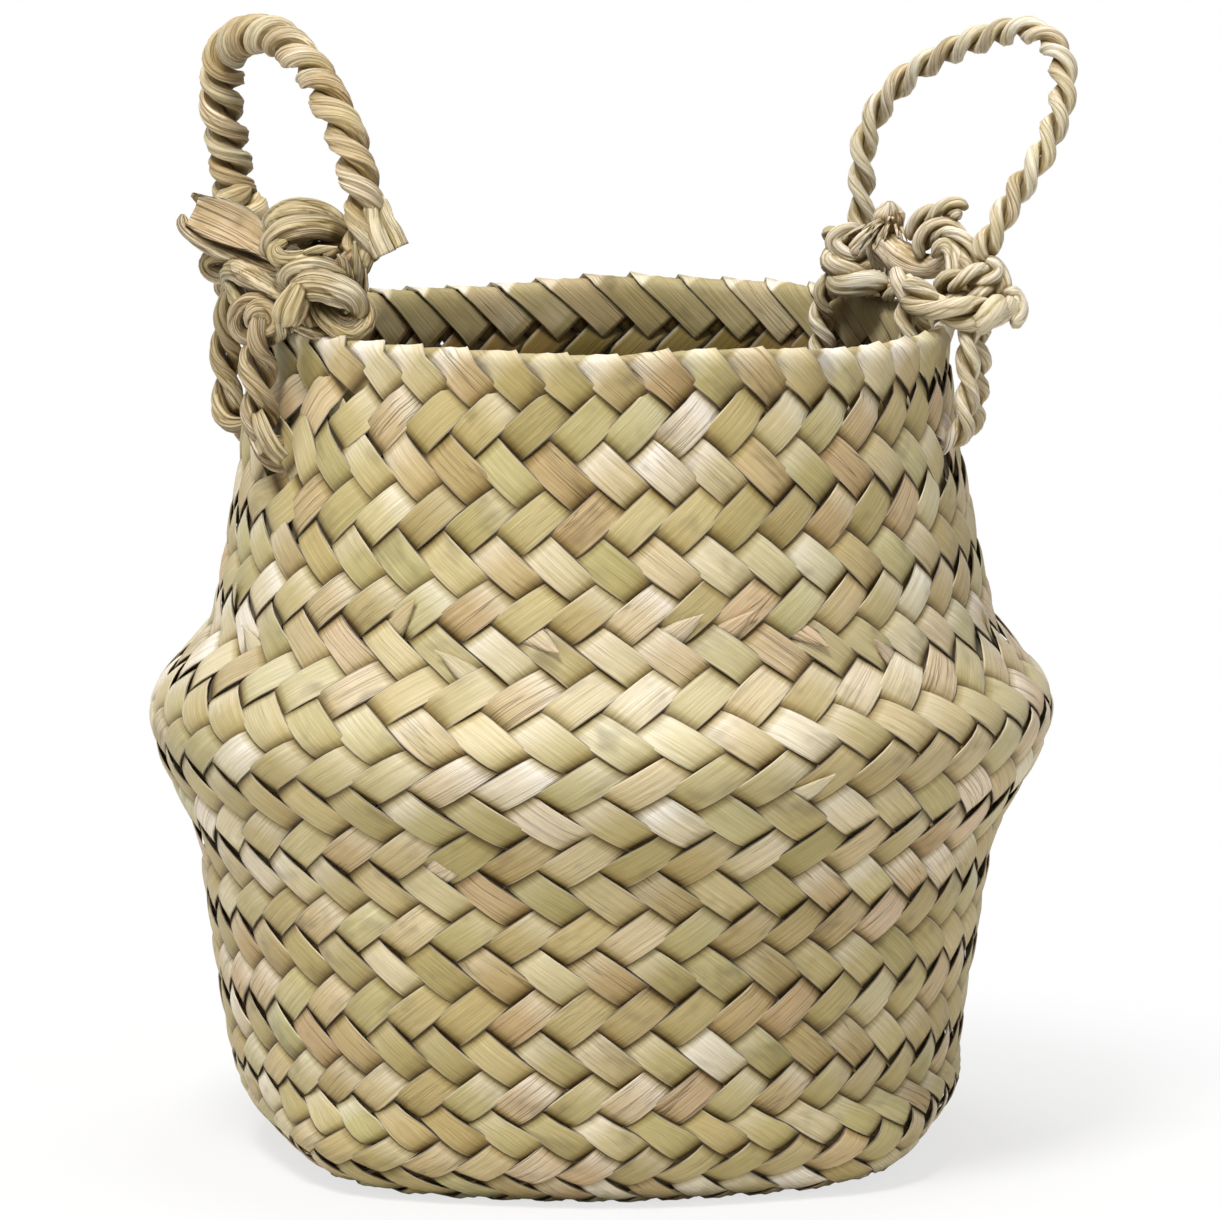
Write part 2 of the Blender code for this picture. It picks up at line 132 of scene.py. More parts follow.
# Camera: about 2.2 m in front of the basket and a little above its rim, looking slightly down through a
# long lens. It isn't part of the basket either.
camera_place, camera_aim = (0.0024, -2.2, 0.447), (0.0024, 0, 0.132)
camera_data = bpy.data.cameras.new("studio_camera")
camera_data.lens = 268.0
camera_data.clip_end = 20.0
camera = bpy.data.objects.new("studio_camera", camera_data)
camera.location = camera_place
camera.rotation_euler = aimed(camera_place, camera_aim)
scene.collection.objects.link(camera)
scene.camera = camera

# Plaited body: 44 long strips of flat dried leaf, 8 mm wide. Each one comes down from the rim leaning
# left, crosses the flat base and goes up again leaning right, over two strips and under two all the way.
MM = 0.001
strips_per_side, sides = 11, 4
strips_around = strips_per_side * sides
half_side = strips_per_side / 2
column_angle = 2 * math.pi / strips_around
foot_radius, heel_radius, heel_height = 72 * MM, 88.5 * MM, 19 * MM
waist_radius, waist_height = 96 * MM, 70 * MM
ridge_radius, ridge_height = 110 * MM, 109.5 * MM
crease_radius, crease_height = 94.5 * MM, 135 * MM
rim_radius, rim_height, neck_bow, fold_start = 84.5 * MM, 203 * MM, 1.5, 88 * MM
wall_half, rim_bend = 1.3 * MM, 1.25 * MM
# Heights at which the rows of left-leaning floats have their middles, from the heel to the rim, and how far
# apart the rows lie along the strips that are folded over the rim.
row_heights = np.array((1.0, 17.5, 37, 58, 77, 96, 116, 134, 154, 176, 199)) * MM
first_row, row_step, rim_row_length = 1.5, 4.0, 11.3 * MM
weave_rise, leaf_half_thickness, leaf_crown = 1.20 * MM, 0.25 * MM, 0.20 * MM
fold_length, heel_bow, base_press, dive_steepness, smooth_half = 2.565, 1.9, 0.7, 1.5, 12
# How a strip differs from the next and drifts along its own length: its width in parts of a strip, its
# sideways slip in strips, and how far it leans on one edge. A drift changes every few steps of the plait.
strip_overlap, width_spread, width_drift, float_swell, side_drift = 1.01, 0.03, 0.06, 0.055, 0.045
strip_lean, lean_drift, rise_drift, drift_steps = 0.16 * MM, 0.22 * MM, 0.08, 2.6
vein_size, vein_count = 0.07 * MM, 5
# At the rim the falling end widens, leans and lifts before it folds, and the rising end stops beneath it.
rim_widening, rim_lean, rim_lift, stop_rise, stop_sink = 0.16, 0.38 * MM, 0.25 * MM, 0.6, 0.55 * MM
# The grain's scale, in millimetres to a strip's width and to a step along it, and how far its start may lie.
grain_across, grain_along, grain_spread = 8.2, 8.5, 900
# How light a float is and how much painted shade darkens it where it dives, and how strongly the painted
# highlights round the top of the belly and along the rim's fold, which is also worn pale, lighten the strips.
float_light, light_spread, dive_shadow, tucked_light = 0.78, 0.33, 0.25, 0.56
belly_highlight_height, belly_highlight_reach, belly_highlight_pale, belly_highlight_light = 123 * MM, 17 * MM, 0.26, 0.06
rim_highlight_pale, rim_highlight_light = 0.55, 0.10
dive_rings = np.array((-0.62, -0.32, -0.14, 0.0, 0.14, 0.32, 0.62, 1.0))
leaf_columns = np.array((-1, -0.97, -0.91, -0.45, 0, 0.45, 0.91, 0.97, 1))
leaf_lifts = np.array((0.0, 0.9, 1, 1, 1, 1, 1, 0.9, 0.0))
under_columns = np.array((0.7, 0, -0.7))
ring_across = np.concatenate((leaf_columns, under_columns))[None, :]
ring_lifts = np.concatenate((leaf_lifts, -np.ones(len(under_columns))))[None, :]
is_top = (np.arange(ring_across.size) < len(leaf_columns))[None, :]
inner_light, inner_grain_shift = 0.43, 31
rng = np.random.default_rng(20)


def ease(low, high, x):
    """A smooth step from 0 at low to 1 at high."""
    t = np.clip((x - low) / (high - low), 0, 1)
    return t * t * (3 - 2 * t)


def outer_line(height):
    """The basket's outside radius at a height above the heel."""
    lower = heel_radius + (waist_radius - heel_radius) * (height - heel_height) / (waist_height - heel_height)
    lower = np.minimum(lower, waist_radius)
    belly = waist_radius + (ridge_radius - waist_radius) * ease(waist_height, ridge_height, height)
    shoulder = ridge_radius + (crease_radius - ridge_radius) * ease(ridge_height, crease_height, height)
    up = np.clip((height - crease_height) / (rim_height - crease_height), 0, 1)
    neck = rim_radius + (crease_radius - rim_radius) * (1 - up) ** neck_bow
    line = np.where(height < waist_height, lower, belly)
    line = np.where(height > ridge_height, shoulder, line)
    return np.where(height > crease_height, neck, line)


turn = np.linspace(0, math.pi / 2, 40)
line_r = foot_radius + (heel_radius - foot_radius) * np.sin(turn) ** heel_bow
line_z = heel_height * (1 - np.cos(turn))
above = np.linspace(heel_height, rim_height, 500)[1:]
line_r = np.concatenate((line_r, outer_line(above)))
line_z = np.concatenate((line_z, above))
run = np.hypot(np.gradient(line_r), np.gradient(line_z))
out_r, out_z = np.gradient(line_z) / run, -np.gradient(line_r) / run
for smoothing in range(3):
    out_r[1:-1] = (out_r[:-2] + out_r[1:-1] + out_r[2:]) / 3
    out_z[1:-1] = (out_z[:-2] + out_z[1:-1] + out_z[2:]) / 3
out_r[0], out_z[0] = 0, -1
mid_r, mid_z = line_r - wall_half * out_r, line_z - wall_half * out_z
row_marks = first_row + row_step * np.arange(len(row_heights))
line_row = np.interp(line_z, row_heights, row_marks)
line_row[line_z < row_heights[0]] = first_row * line_z[line_z < row_heights[0]] / row_heights[0]
heel_arc = np.concatenate(((0,), np.cumsum(np.hypot(np.diff(line_r), np.diff(line_z)))))
heel_part = heel_arc < np.interp(row_heights[1], line_z, heel_arc)
line_row[heel_part] = (first_row + row_step) * heel_arc[heel_part] / heel_arc[heel_part][-1]
rim_row = row_marks[-1] + 2 * (rim_height - row_heights[-1]) / rim_row_length
above_last = line_z > row_heights[-1]
line_row[above_last] = row_marks[-1] + (rim_row - row_marks[-1]) * (
    (line_z[above_last] - row_heights[-1]) / (rim_height - row_heights[-1]))
spread = np.ones(2 * smooth_half + 1) / (2 * smooth_half + 1)
padded_row = np.pad(line_row, smooth_half, mode="reflect", reflect_type="odd")
line_row = np.convolve(padded_row, spread, mode="valid")
line_level = line_row / 2
rim_level = line_level[-1]


def weave_wave(row):
    """Where a left-leaning strip lies: +1 outside its neighbours, -1 inside them."""
    wave = np.cos(math.pi * (row - first_row) / 2)
    return np.tanh(dive_steepness * wave) / math.tanh(dive_steepness)


def slow_noise(rows, along, spacing):
    """One smooth random line per row, with a new value each spacing along it."""
    count = int(along.max() / spacing) + 3
    values = rng.uniform(-1, 1, (rows, count))
    place = along / spacing
    left = np.floor(place).astype(int)
    part = place - left
    part = part * part * (3 - 2 * part)
    return values[:, left] * (1 - part) + values[:, left + 1] * part


def wavy(angle, height):
    """How far the hand-made body stands off a true round, in metres outward and upward."""
    outward = 0.7 * np.sin(2 * angle + 0.6) + 0.45 * np.sin(3 * angle + 14 * height)
    outward = outward + 0.35 * np.sin(5 * angle - 40 * height)
    upward = 0.8 * np.sin(2 * angle - 0.5) + 0.5 * np.sin(5 * angle + 1.1) + 0.3 * np.sin(9 * angle)
    return outward * MM * ease(0.0, 0.03, height), upward * MM * ease(0.11, 0.2, height)


def place_on_wall(angle, level, lift):
    """Points at an angle round the basket, a level up its wall and a lift out of it."""
    radius = np.interp(level, line_level, mid_r)
    height = np.interp(level, line_level, mid_z)
    normal_r = np.interp(level, line_level, out_r)
    normal_z = np.interp(level, line_level, out_z)
    outward, upward = wavy(angle, height)
    radius = radius + lift * normal_r + outward
    height = height + lift * normal_z + upward
    return np.stack((radius * np.cos(angle), radius * np.sin(angle), height), -1)


def place_on_base(quarter, x, y, lift):
    """Points of the square start of the plait, eased out into the round base."""
    x, y = x / half_side, y / half_side
    far = np.maximum(np.abs(x), np.abs(y))
    turn = quarter * math.pi / 2
    soft_x = x * np.sqrt(1 - np.minimum(y * y, 1) / 2)
    soft_y = y * np.sqrt(1 - np.minimum(x * x, 1) / 2)
    front = np.abs(y) >= np.abs(x)
    safe = np.maximum(far, 1e-6)
    bearing = np.where(front, np.where(y < 0, -math.pi / 2, math.pi / 2), np.where(x < 0, math.pi, 0))
    slide = np.where(front, np.where(y < 0, x, -x), np.where(x < 0, -y, y)) / safe
    bearing = bearing + slide * math.pi / 4
    hard_x, hard_y = far * np.cos(bearing), far * np.sin(bearing)
    flat_x, flat_y = foot_radius * (soft_x + hard_x) / 2, foot_radius * (soft_y + hard_y) / 2
    cos_t, sin_t = math.cos(turn), math.sin(turn)
    height = wall_half - lift * base_press
    return np.stack((flat_x * cos_t - flat_y * sin_t, flat_x * sin_t + flat_y * cos_t, height), -1)


# The foot is a rounded square, turned by 3 degrees and a little wider in front, and it ends 24 mm up. Its
# edge curls up at the left and right, and the lower wall has slipped a little to the left.
foot_turned, foot_top = math.radians(3), 24 * MM
foot_spread, front_spread, corner_spread = 0.03, 0.01, 0.13
edge_curl, wall_slip, lowest = 4.0 * MM, 1.4 * MM, 0.04 * MM


def squared_foot(points):
    """Draws the points near the floor out to the rounded square that the plait starts from."""
    height = points[..., 2]
    bearing = np.arctan2(points[..., 1], points[..., 0])
    corner = ((1 - np.cos(4 * (bearing - foot_turned))) / 2) ** 2.5
    wider = foot_spread - front_spread * np.sin(bearing) + corner_spread * corner
    wider = 1 + wider * (1 - ease(0.0, foot_top, height))
    points[..., :2] *= wider[..., None]
    points[..., 0] -= wall_slip * ease(0.01, 0.03, height) * (1 - ease(0.07, 0.13, height))
    reach = np.hypot(points[..., 0], points[..., 1])
    curled = edge_curl * np.cos(bearing) ** 2 * ease(0.066, 0.092, reach) * (1 - ease(0.008, 0.030, height))
    points[..., 2] = np.maximum(height + curled, lowest)
    return points


side_slip = math.radians(0.9)
first_side_angle = math.radians(-90)
# Inside the rim the folded end stands off the wall, and lower down it is tucked in under the next strip.
flap_stand, tuck_start, tuck_end, tuck_share = 0.5 * MM, 9.5 * MM, 19 * MM, 0.55


def place_in_plait(quarter, across, along, lift):
    """The plait's map: a strip starts on one side of the square base and ends on the next."""
    x, y = (along + across) / 2, (along - across) / 2
    falling = along < 0
    level = np.where(falling, -y, x) - half_side
    slide = np.where(falling, x, y)
    side = first_side_angle + (quarter + np.where(falling, 0, 1)) * math.pi / 2
    eased = side_slip * np.sin(math.pi * slide / half_side) * (1 - ease(0, 3, level))
    angle = side + slide * column_angle - eased
    swell = np.where(falling, rim_bend * ease(rim_level - 0.45, rim_level, level), 0)
    wall = place_on_wall(angle, np.clip(level, 0, rim_level), lift + swell)
    inside = np.clip((level - rim_level) * rim_row_length, 0, None)
    over = np.clip(inside / (math.pi * rim_bend), 0, 1) * math.pi
    down = np.clip(inside - math.pi * rim_bend, 0, None)
    height = rim_height + rim_bend * (0.9 * np.sin(over) - 0.25 * np.sin(over / 2)) - down
    middle = np.interp(height, mid_z, mid_r)
    outward, upward = wavy(angle, height)
    tuck = ease(tuck_start, tuck_end, down)
    radius = middle + (rim_bend * np.cos(over) + lift * np.cos(over)) * (1 - tuck_share * tuck)
    radius = radius - flap_stand * ease(0, 0.003, down) * (1 - tuck) + outward
    flap = np.stack((radius * np.cos(angle), radius * np.sin(angle),
                     height + lift * np.sin(over) + upward), -1)
    base = place_on_base(quarter, x, y, lift)
    placed = np.where((level > rim_level)[..., None], flap, np.where((level > 0)[..., None], wall, base))
    return squared_foot(placed)


def tube_faces(shape, start=0, turned=False):
    """The faces of a closed tube of rings whose points are numbered from start, or the same turned about."""
    count, around = shape[:2]
    ring = start + np.arange(count - 1)[:, None] * around
    step = np.arange(around)[None, :]
    after = (step + 1) % around
    quads = np.stack((ring + step, ring + around + step, ring + around + after, ring + after), -1)
    first = np.arange(start, start + around)
    last = first + (count - 1) * around
    if turned:
        quads, first, last = quads[..., (0, 3, 2, 1)], first[::-1], last[::-1]
    return quads.reshape(-1, 4).tolist() + [first.tolist(), last[::-1].tolist()]


def add_piece(name, points, faces, material, place, tone, edge_shade_light):
    """A smooth closed piece that carries what its leaf material needs to know at each point."""
    mesh = bpy.data.meshes.new(name)
    mesh.from_pydata(points.reshape(-1, 3).tolist(), [], faces)
    mesh.shade_smooth()
    # The last vector holds each point's place across the leaf, its painted shade and its painted light.
    for label, values in (("leaf_place", place), ("leaf_tone", tone), ("leaf_edge_shade_light", edge_shade_light)):
        layer = mesh.attributes.new(label, "FLOAT_VECTOR", "POINT")
        layer.data.foreach_set("vector", np.ascontiguousarray(values, dtype=np.float32).ravel())
    mesh.materials.append(material)
    piece = bpy.data.objects.new(name, mesh)
    scene.collection.objects.link(piece)
    return piece


def at_each(shape, *parts):
    """Vectors for rings of points, from single values, one value per ring, or one per point."""
    spread = [part[:, None] if np.ndim(part) == 1 else part for part in parts]
    return np.stack([np.broadcast_to(part, shape) for part in spread], -1)


def blend_colours(tree, share, first, second, kind="MIX"):
    """Mixes two colours by a share."""
    made = add_node(tree, "ShaderNodeMix", (0, share), (6, first), (7, second),
                    data_type="RGBA", blend_type=kind)
    return made.outputs[2]


def ramp(tree, value, low, high):
    """Stretches low to high onto 0 to 1, smoothly."""
    made = add_node(tree, "ShaderNodeMapRange", ("Value", value), ("From Min", low), ("From Max", high),
                    interpolation_type="SMOOTHSTEP")
    return made.outputs["Result"]


def speckle(tree, place, across, along, detail, rough=0.55):
    """Noise stretched along the leaf, with its two scales per millimetre."""
    scaled = add_node(tree, "ShaderNodeVectorMath", (0, place), (1, (across, along, 1.0)),
                      operation="MULTIPLY").outputs[0]
    made = add_node(tree, "ShaderNodeTexNoise", ("Vector", scaled), ("Scale", 1.0),
                    ("Detail", detail), ("Roughness", rough))
    return made.outputs["Fac"]


def leaf_group():
    """Fibres, dry splits, wrinkles and stains of a dried leaf, by its own length and width, with a painted
    highlight along its edges and painted shade.
    """
    tree = bpy.data.node_groups.new("dried_leaf_surface", "ShaderNodeTree")
    for way, kind, labels in (
            ("INPUT", "NodeSocketVector", ("Place", "Tone")),
            ("INPUT", "NodeSocketFloat", ("Edge", "Shade", "Light", "Furrows")),
            ("INPUT", "NodeSocketColor", ("Straw", "Green", "Dry", "Pale", "Stain_and_shade")),
            ("OUTPUT", "NodeSocketColor", ("Colour",)),
            ("OUTPUT", "NodeSocketFloat", ("Roughness", "Height"))):
        for label in labels:
            tree.interface.new_socket(label, in_out=way, socket_type=kind)
    given = tree.nodes.new("NodeGroupInput").outputs
    place = given["Place"]
    tone = add_node(tree, "ShaderNodeSeparateXYZ", (0, given["Tone"])).outputs
    to_edge = math_node(tree, "ABSOLUTE", given["Edge"])

    def times(first, second, clamp=False):
        return math_node(tree, "MULTIPLY", first, second, clamp=clamp)

    def scaled(value, factor, added, clamp=False):
        return math_node(tree, "MULTIPLY_ADD", value, factor, added, clamp)

    def darkened(colour, value, green_power, blue_power):
        browned = add_node(tree, "ShaderNodeCombineColor", (0, value),
                           (1, math_node(tree, "POWER", value, green_power)),
                           (2, math_node(tree, "POWER", value, blue_power)))
        return blend_colours(tree, 1.0, colour, browned.outputs[0], "MULTIPLY")

    fine = speckle(tree, place, 4.6, 0.10, 4.0, 0.62)
    coarse = speckle(tree, place, 1.5, 0.035, 2.0)
    patch = speckle(tree, place, 0.16, 0.07, 2.0)
    blot = speckle(tree, place, 0.12, 0.085, 2.0)
    crack = speckle(tree, place, 0.55, 0.016, 1.0)
    furrow = times(ramp(tree, speckle(tree, place, 2.3, 0.045, 2.0, 0.6), 0.50, 0.66), given["Furrows"])
    dry_share = ramp(tree, tone[1], 0.25, 0.85)
    from_crack = math_node(tree, "ABSOLUTE", math_node(tree, "SUBTRACT", crack, 0.5))
    crack_line = math_node(tree, "SUBTRACT", 1.0, ramp(tree, from_crack, 0.0, 0.020))
    crack_line = times(crack_line, scaled(dry_share, 0.8, 0.06))
    green_share = scaled(patch, 0.6, tone[0], clamp=True)
    colour = blend_colours(tree, green_share, given["Straw"], given["Green"])
    for share, label in ((times(dry_share, 0.8), "Dry"), (times(tone[2], 0.75, clamp=True), "Pale"),
                         (times(ramp(tree, blot, 0.54, 0.80), 0.40), "Stain_and_shade")):
        colour = blend_colours(tree, share, colour, given[label])
    colour = darkened(colour, times(scaled(fine, 0.86, 0.58), scaled(coarse, 0.5, 0.76)), 1.08, 1.6)
    # Painted light and shade: Light and Shade darken and brown the colour; the pale band along the edges is a
    # painted highlight and the brown line along some edges is painted shade.
    colour = darkened(colour, times(given["Light"], scaled(given["Shade"], -0.72, 1.0)), 1.2, 2.0)
    shaded_edge = times(ramp(tree, to_edge, 0.90, 0.975), ramp(tree, coarse, 0.38, 0.56))
    for share, strength, label in (
            (furrow, 0.62, "Stain_and_shade"), (ramp(tree, to_edge, 0.86, 1.0), 0.38, "Pale"),
            (shaded_edge, 0.78, "Stain_and_shade"), (crack_line, 0.72, "Stain_and_shade"), (given["Shade"], 0.42, "Stain_and_shade")):
        colour = blend_colours(tree, times(share, strength), colour, given[label])
    height = scaled(fine, 0.35, times(coarse, 0.9))
    height = math_node(tree, "SUBTRACT", height, times(crack_line, 0.9))
    height = math_node(tree, "SUBTRACT", height, furrow)
    rough = scaled(coarse, 0.22, scaled(dry_share, 0.14, 0.40))
    add_node(tree, "NodeGroupOutput", ("Colour", colour), ("Roughness", rough), ("Height", height))
    return tree


leaf_surface = leaf_group()


def srgb(red, green, blue):
    """A colour written as it looks on screen, from 0 to 255."""
    share = np.array((red, green, blue)) / 255
    return (*np.where(share < 0.04045, share / 12.92, ((share + 0.055) / 1.055) ** 2.4), 1.0)


def leaf_material(name, colours, bump, furrows=0.0, depth=1.0):
    """A dried leaf finish: the shared leaf surface with this piece's colours and its own relief."""
    made = bpy.data.materials.new(name)
    made.use_nodes = True
    tree = made.node_tree
    finish = tree.nodes["Principled BSDF"]
    told = {label: add_node(tree, "ShaderNodeAttribute", attribute_name="leaf_" + label).outputs["Vector"]
            for label in ("place", "tone", "edge_shade_light")}
    edge, shade, light = add_node(tree, "ShaderNodeSeparateXYZ", (0, told["edge_shade_light"])).outputs
    surface = tree.nodes.new("ShaderNodeGroup")
    surface.node_tree = leaf_surface
    for label, feed in (("Place", told["place"]), ("Tone", told["tone"]), ("Edge", edge), ("Light", light),
                        ("Shade", math_node(tree, "MULTIPLY", shade, depth))):
        tree.links.new(feed, surface.inputs[label])
    surface.inputs["Furrows"].default_value = furrows
    for label, value in colours.items():
        surface.inputs[label].default_value = srgb(*value)
    relief = add_node(tree, "ShaderNodeBump", ("Height", surface.outputs["Height"]), ("Strength", 0.8),
                      ("Distance", bump))
    tree.links.new(surface.outputs["Colour"], finish.inputs["Base Color"])
    tree.links.new(surface.outputs["Roughness"], finish.inputs["Roughness"])
    tree.links.new(relief.outputs["Normal"], finish.inputs["Normal"])
    finish.inputs["Specular IOR Level"].default_value = 0.35
    finish.inputs["Sheen Weight"].default_value = 0.12
    return made


plait_leaf = leaf_material("plaited_dried_leaf", {
    "Straw": (208, 186, 132), "Green": (184, 174, 118), "Dry": (214, 182, 146),
    "Pale": (246, 236, 216), "Stain_and_shade": (62, 37, 4)}, bump=0.30 * MM)

# Where the plait is parted: the five lashings' holes and one small gap, each as its turn in degrees, its
# height in millimetres and how far it pushes the strips aside, in strips.
parted_places = ((177, 174, 0.54), (208, 173, 0.64), (-15, 174, 0.34), (-1, 174, 0.34), (44, 174, 0.52),
                 (-134, 192.5, 0.24))
parted_core, parted_across, parted_along = 0.4, 1.1, 1.25


def parted(side, centre, along, rising):
    """How far a strip moves sideways, in strips, to let the lashings through."""
    moved = np.zeros_like(along)
    for turn, height, push in parted_places:
        level = np.interp(height * MM, mid_z, line_level)
        slide = (math.radians(turn) - side) / column_angle
        hole = half_side + level + (-slide if rising else slide)
        off = (centre - hole + strips_around / 2) % strips_around - strips_around / 2
        where = 2 * (half_side + level) - (centre - off)
        where = where if rising else -where
        reach = push
        if abs(off) > parted_core:
            reach = push * math.exp(-((abs(off) - parted_core) / parted_across) ** 2)
        moved += math.copysign(reach, off) * np.exp(-((along - where) / parted_along) ** 2)
    return moved


for quarter in range(sides):
    for rank in range(strips_per_side):
        # Rings along the strip, closest together where it dives under another one or comes up.
        centre = rank + 0.5
        start = -(strips_per_side - centre) - 2 * rim_level - fold_length
        stop = (strips_per_side - centre) + 2 * rim_level - 0.5
        dives = first_row + 1 + np.arange(-8, 60, 2) - (centre - 2 * half_side)
        dives = dives[dives > 0]
        along = np.unique((np.concatenate((-dives, dives))[:, None] + dive_rings[None, :]).ravel().round(3))
        along = along[(along > start + 0.05) & (along < stop - 0.05) & (np.abs(along) > 0.1)]
        along = np.sort(np.concatenate(((start, -0.1, 0.1, stop), along)))
        travel, falling = along - start, along < 0
        level = np.abs(along) / 2 + centre / 2 - half_side
        row = 2 * level

        # How it lies: over or under its neighbours, how wide, how far to the side and how much on edge.
        over = weave_wave(row) * np.tanh(3 * -along)
        noise = slow_noise(6, travel, drift_steps)
        half_width = 0.5 * (strip_overlap + width_spread * rng.uniform(-1, 1) + width_drift * noise[0]
                            + float_swell * over)
        first_side = first_side_angle + quarter * math.pi / 2
        shift = side_drift * noise[1] + np.where(falling, parted(first_side, centre, along, False),
                                                 parted(first_side + math.pi / 2, centre, along, True))
        at_rim = ease(rim_level - 0.7, rim_level - 0.1, level) * falling
        past_rim = ease(rim_level - 0.35, rim_level, level) * falling
        folded = falling & (level > rim_level - 0.2)
        half_width = (half_width * (1 + rim_widening * at_rim))[:, None]
        lean = strip_lean + lean_drift * noise[2] + rim_lean * at_rim
        lift = weave_rise * (1 + rise_drift * noise[3]) * over * (1 - past_rim) + rim_lift * past_rim
        lift = np.where(~falling & (level > rim_level - 1.1), lift * stop_rise - stop_sink, lift)
        arch = np.where(folded, 0.25 * leaf_crown, leaf_crown * np.tanh(2.2 * over))
        ends = ease(0, 0.6, travel) * ease(0, 0.6, stop - along)
        across = centre + shift[:, None] + ring_across * half_width
        crowned = arch[:, None] * (1 - ring_across ** 2)
        veined = vein_size * np.sin(ring_across * vein_count + 3 * noise[4][:, None] + rank)
        veined = veined * noise[5][:, None]
        thick = leaf_half_thickness * ring_lifts * np.sqrt(np.clip(ends, 0.05, 1))[:, None]
        points = place_in_plait(
            quarter, across, np.broadcast_to(along[:, None], across.shape),
            lift[:, None] + crowned + lean[:, None] * ring_across + veined * is_top + thick)

        # How its leaf looks: each float has its own tone, and painted shade darkens and browns the strip
        # where it dives.
        shape = across.shape
        seed = rng.uniform(0, grain_spread)
        crossing = np.floor((row - first_row + 1) / 2).astype(int)
        own = rng.uniform(0, 1, 3)
        of_float = rng.uniform(0, 1, (3, 90))[:, np.where(falling, crossing, -crossing) + 40]
        in_float = (row - first_row + 1) / 2 - crossing
        # Painted highlights: the strips are paler and lighter round the top of the belly, which faces the
        # lamps above, along the rim's fold, which is also worn pale, and at the upper ends of some floats.
        belly_highlight = np.exp(-((np.interp(level, line_level, line_z) - belly_highlight_height) / belly_highlight_reach) ** 2)
        rim_wear_and_highlight = ease(rim_level - 0.30, rim_level - 0.04, level) * falling
        upper_end_highlight = ease(0.52, 0.82, in_float) * (of_float[0] > 0.35)
        green = np.clip(0.7 * own[0] + 0.3 * of_float[0] - 0.15, 0, 1)
        dry = np.clip(0.55 * own[1] + 0.34 * of_float[1] ** 1.6, 0, 1)
        pale = np.clip(0.9 * of_float[2] * (0.35 + own[2]) - 0.55, 0, 1) + belly_highlight_pale * belly_highlight
        pale = np.clip(pale + 0.75 * upper_end_highlight * of_float[1], 0, 1)
        pale = np.clip(pale + rim_highlight_pale * rim_wear_and_highlight, 0, 1)
        light = float_light + light_spread * of_float[2] - dive_shadow * (1 - ease(0.0, 0.42, in_float))
        light = light + belly_highlight_light * belly_highlight + rim_highlight_light * rim_wear_and_highlight
        tucked = falling & (level > rim_level + 0.12)
        light = np.where(tucked, tucked_light + 0.12 * of_float[1], light)
        green = np.where(tucked, np.clip(green + 0.5, 0, 1), green)
        shade = np.where(folded, 0.0, 1 - ease(0.0, 0.60, np.abs(over)))
        grain_place = ring_across * half_width * grain_across + np.where(is_top, 0, inner_grain_shift)
        place = at_each(shape, grain_place, travel * grain_along, seed)
        edge_shade_light = at_each(shape, ring_across, shade, light[:, None] * np.where(is_top, 1.0, inner_light))
        strip = add_piece("leaf_strip_{:02d}".format(quarter * strips_per_side + rank + 1), points,
                          tube_faces(shape), plait_leaf, place, at_each(shape, green, dry, pale), edge_shade_light)
        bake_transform(strip)
        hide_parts("base_mat", "lower_wall", "belly_fold", "neck_wall", "rim_border")

# Spliced ends: where the neck leaves the belly, new leaves were slipped in, and their cut tips stick out
# of the plait as small points. They are bits of the same leaf, held only by the strips round them.
tip_root, tip_reach, tip_half_width = 0.55, 1.05, 0.44
tip_stand, tip_curl = 0.45, 1.5
tip_columns = np.array((-1, -0.5, 0, 0.5, 1, 0.5, 0, -0.5))
tip_lifts = np.array((0, 1, 1.2, 1, 0, -1, -1, -1)) * 0.2 * MM
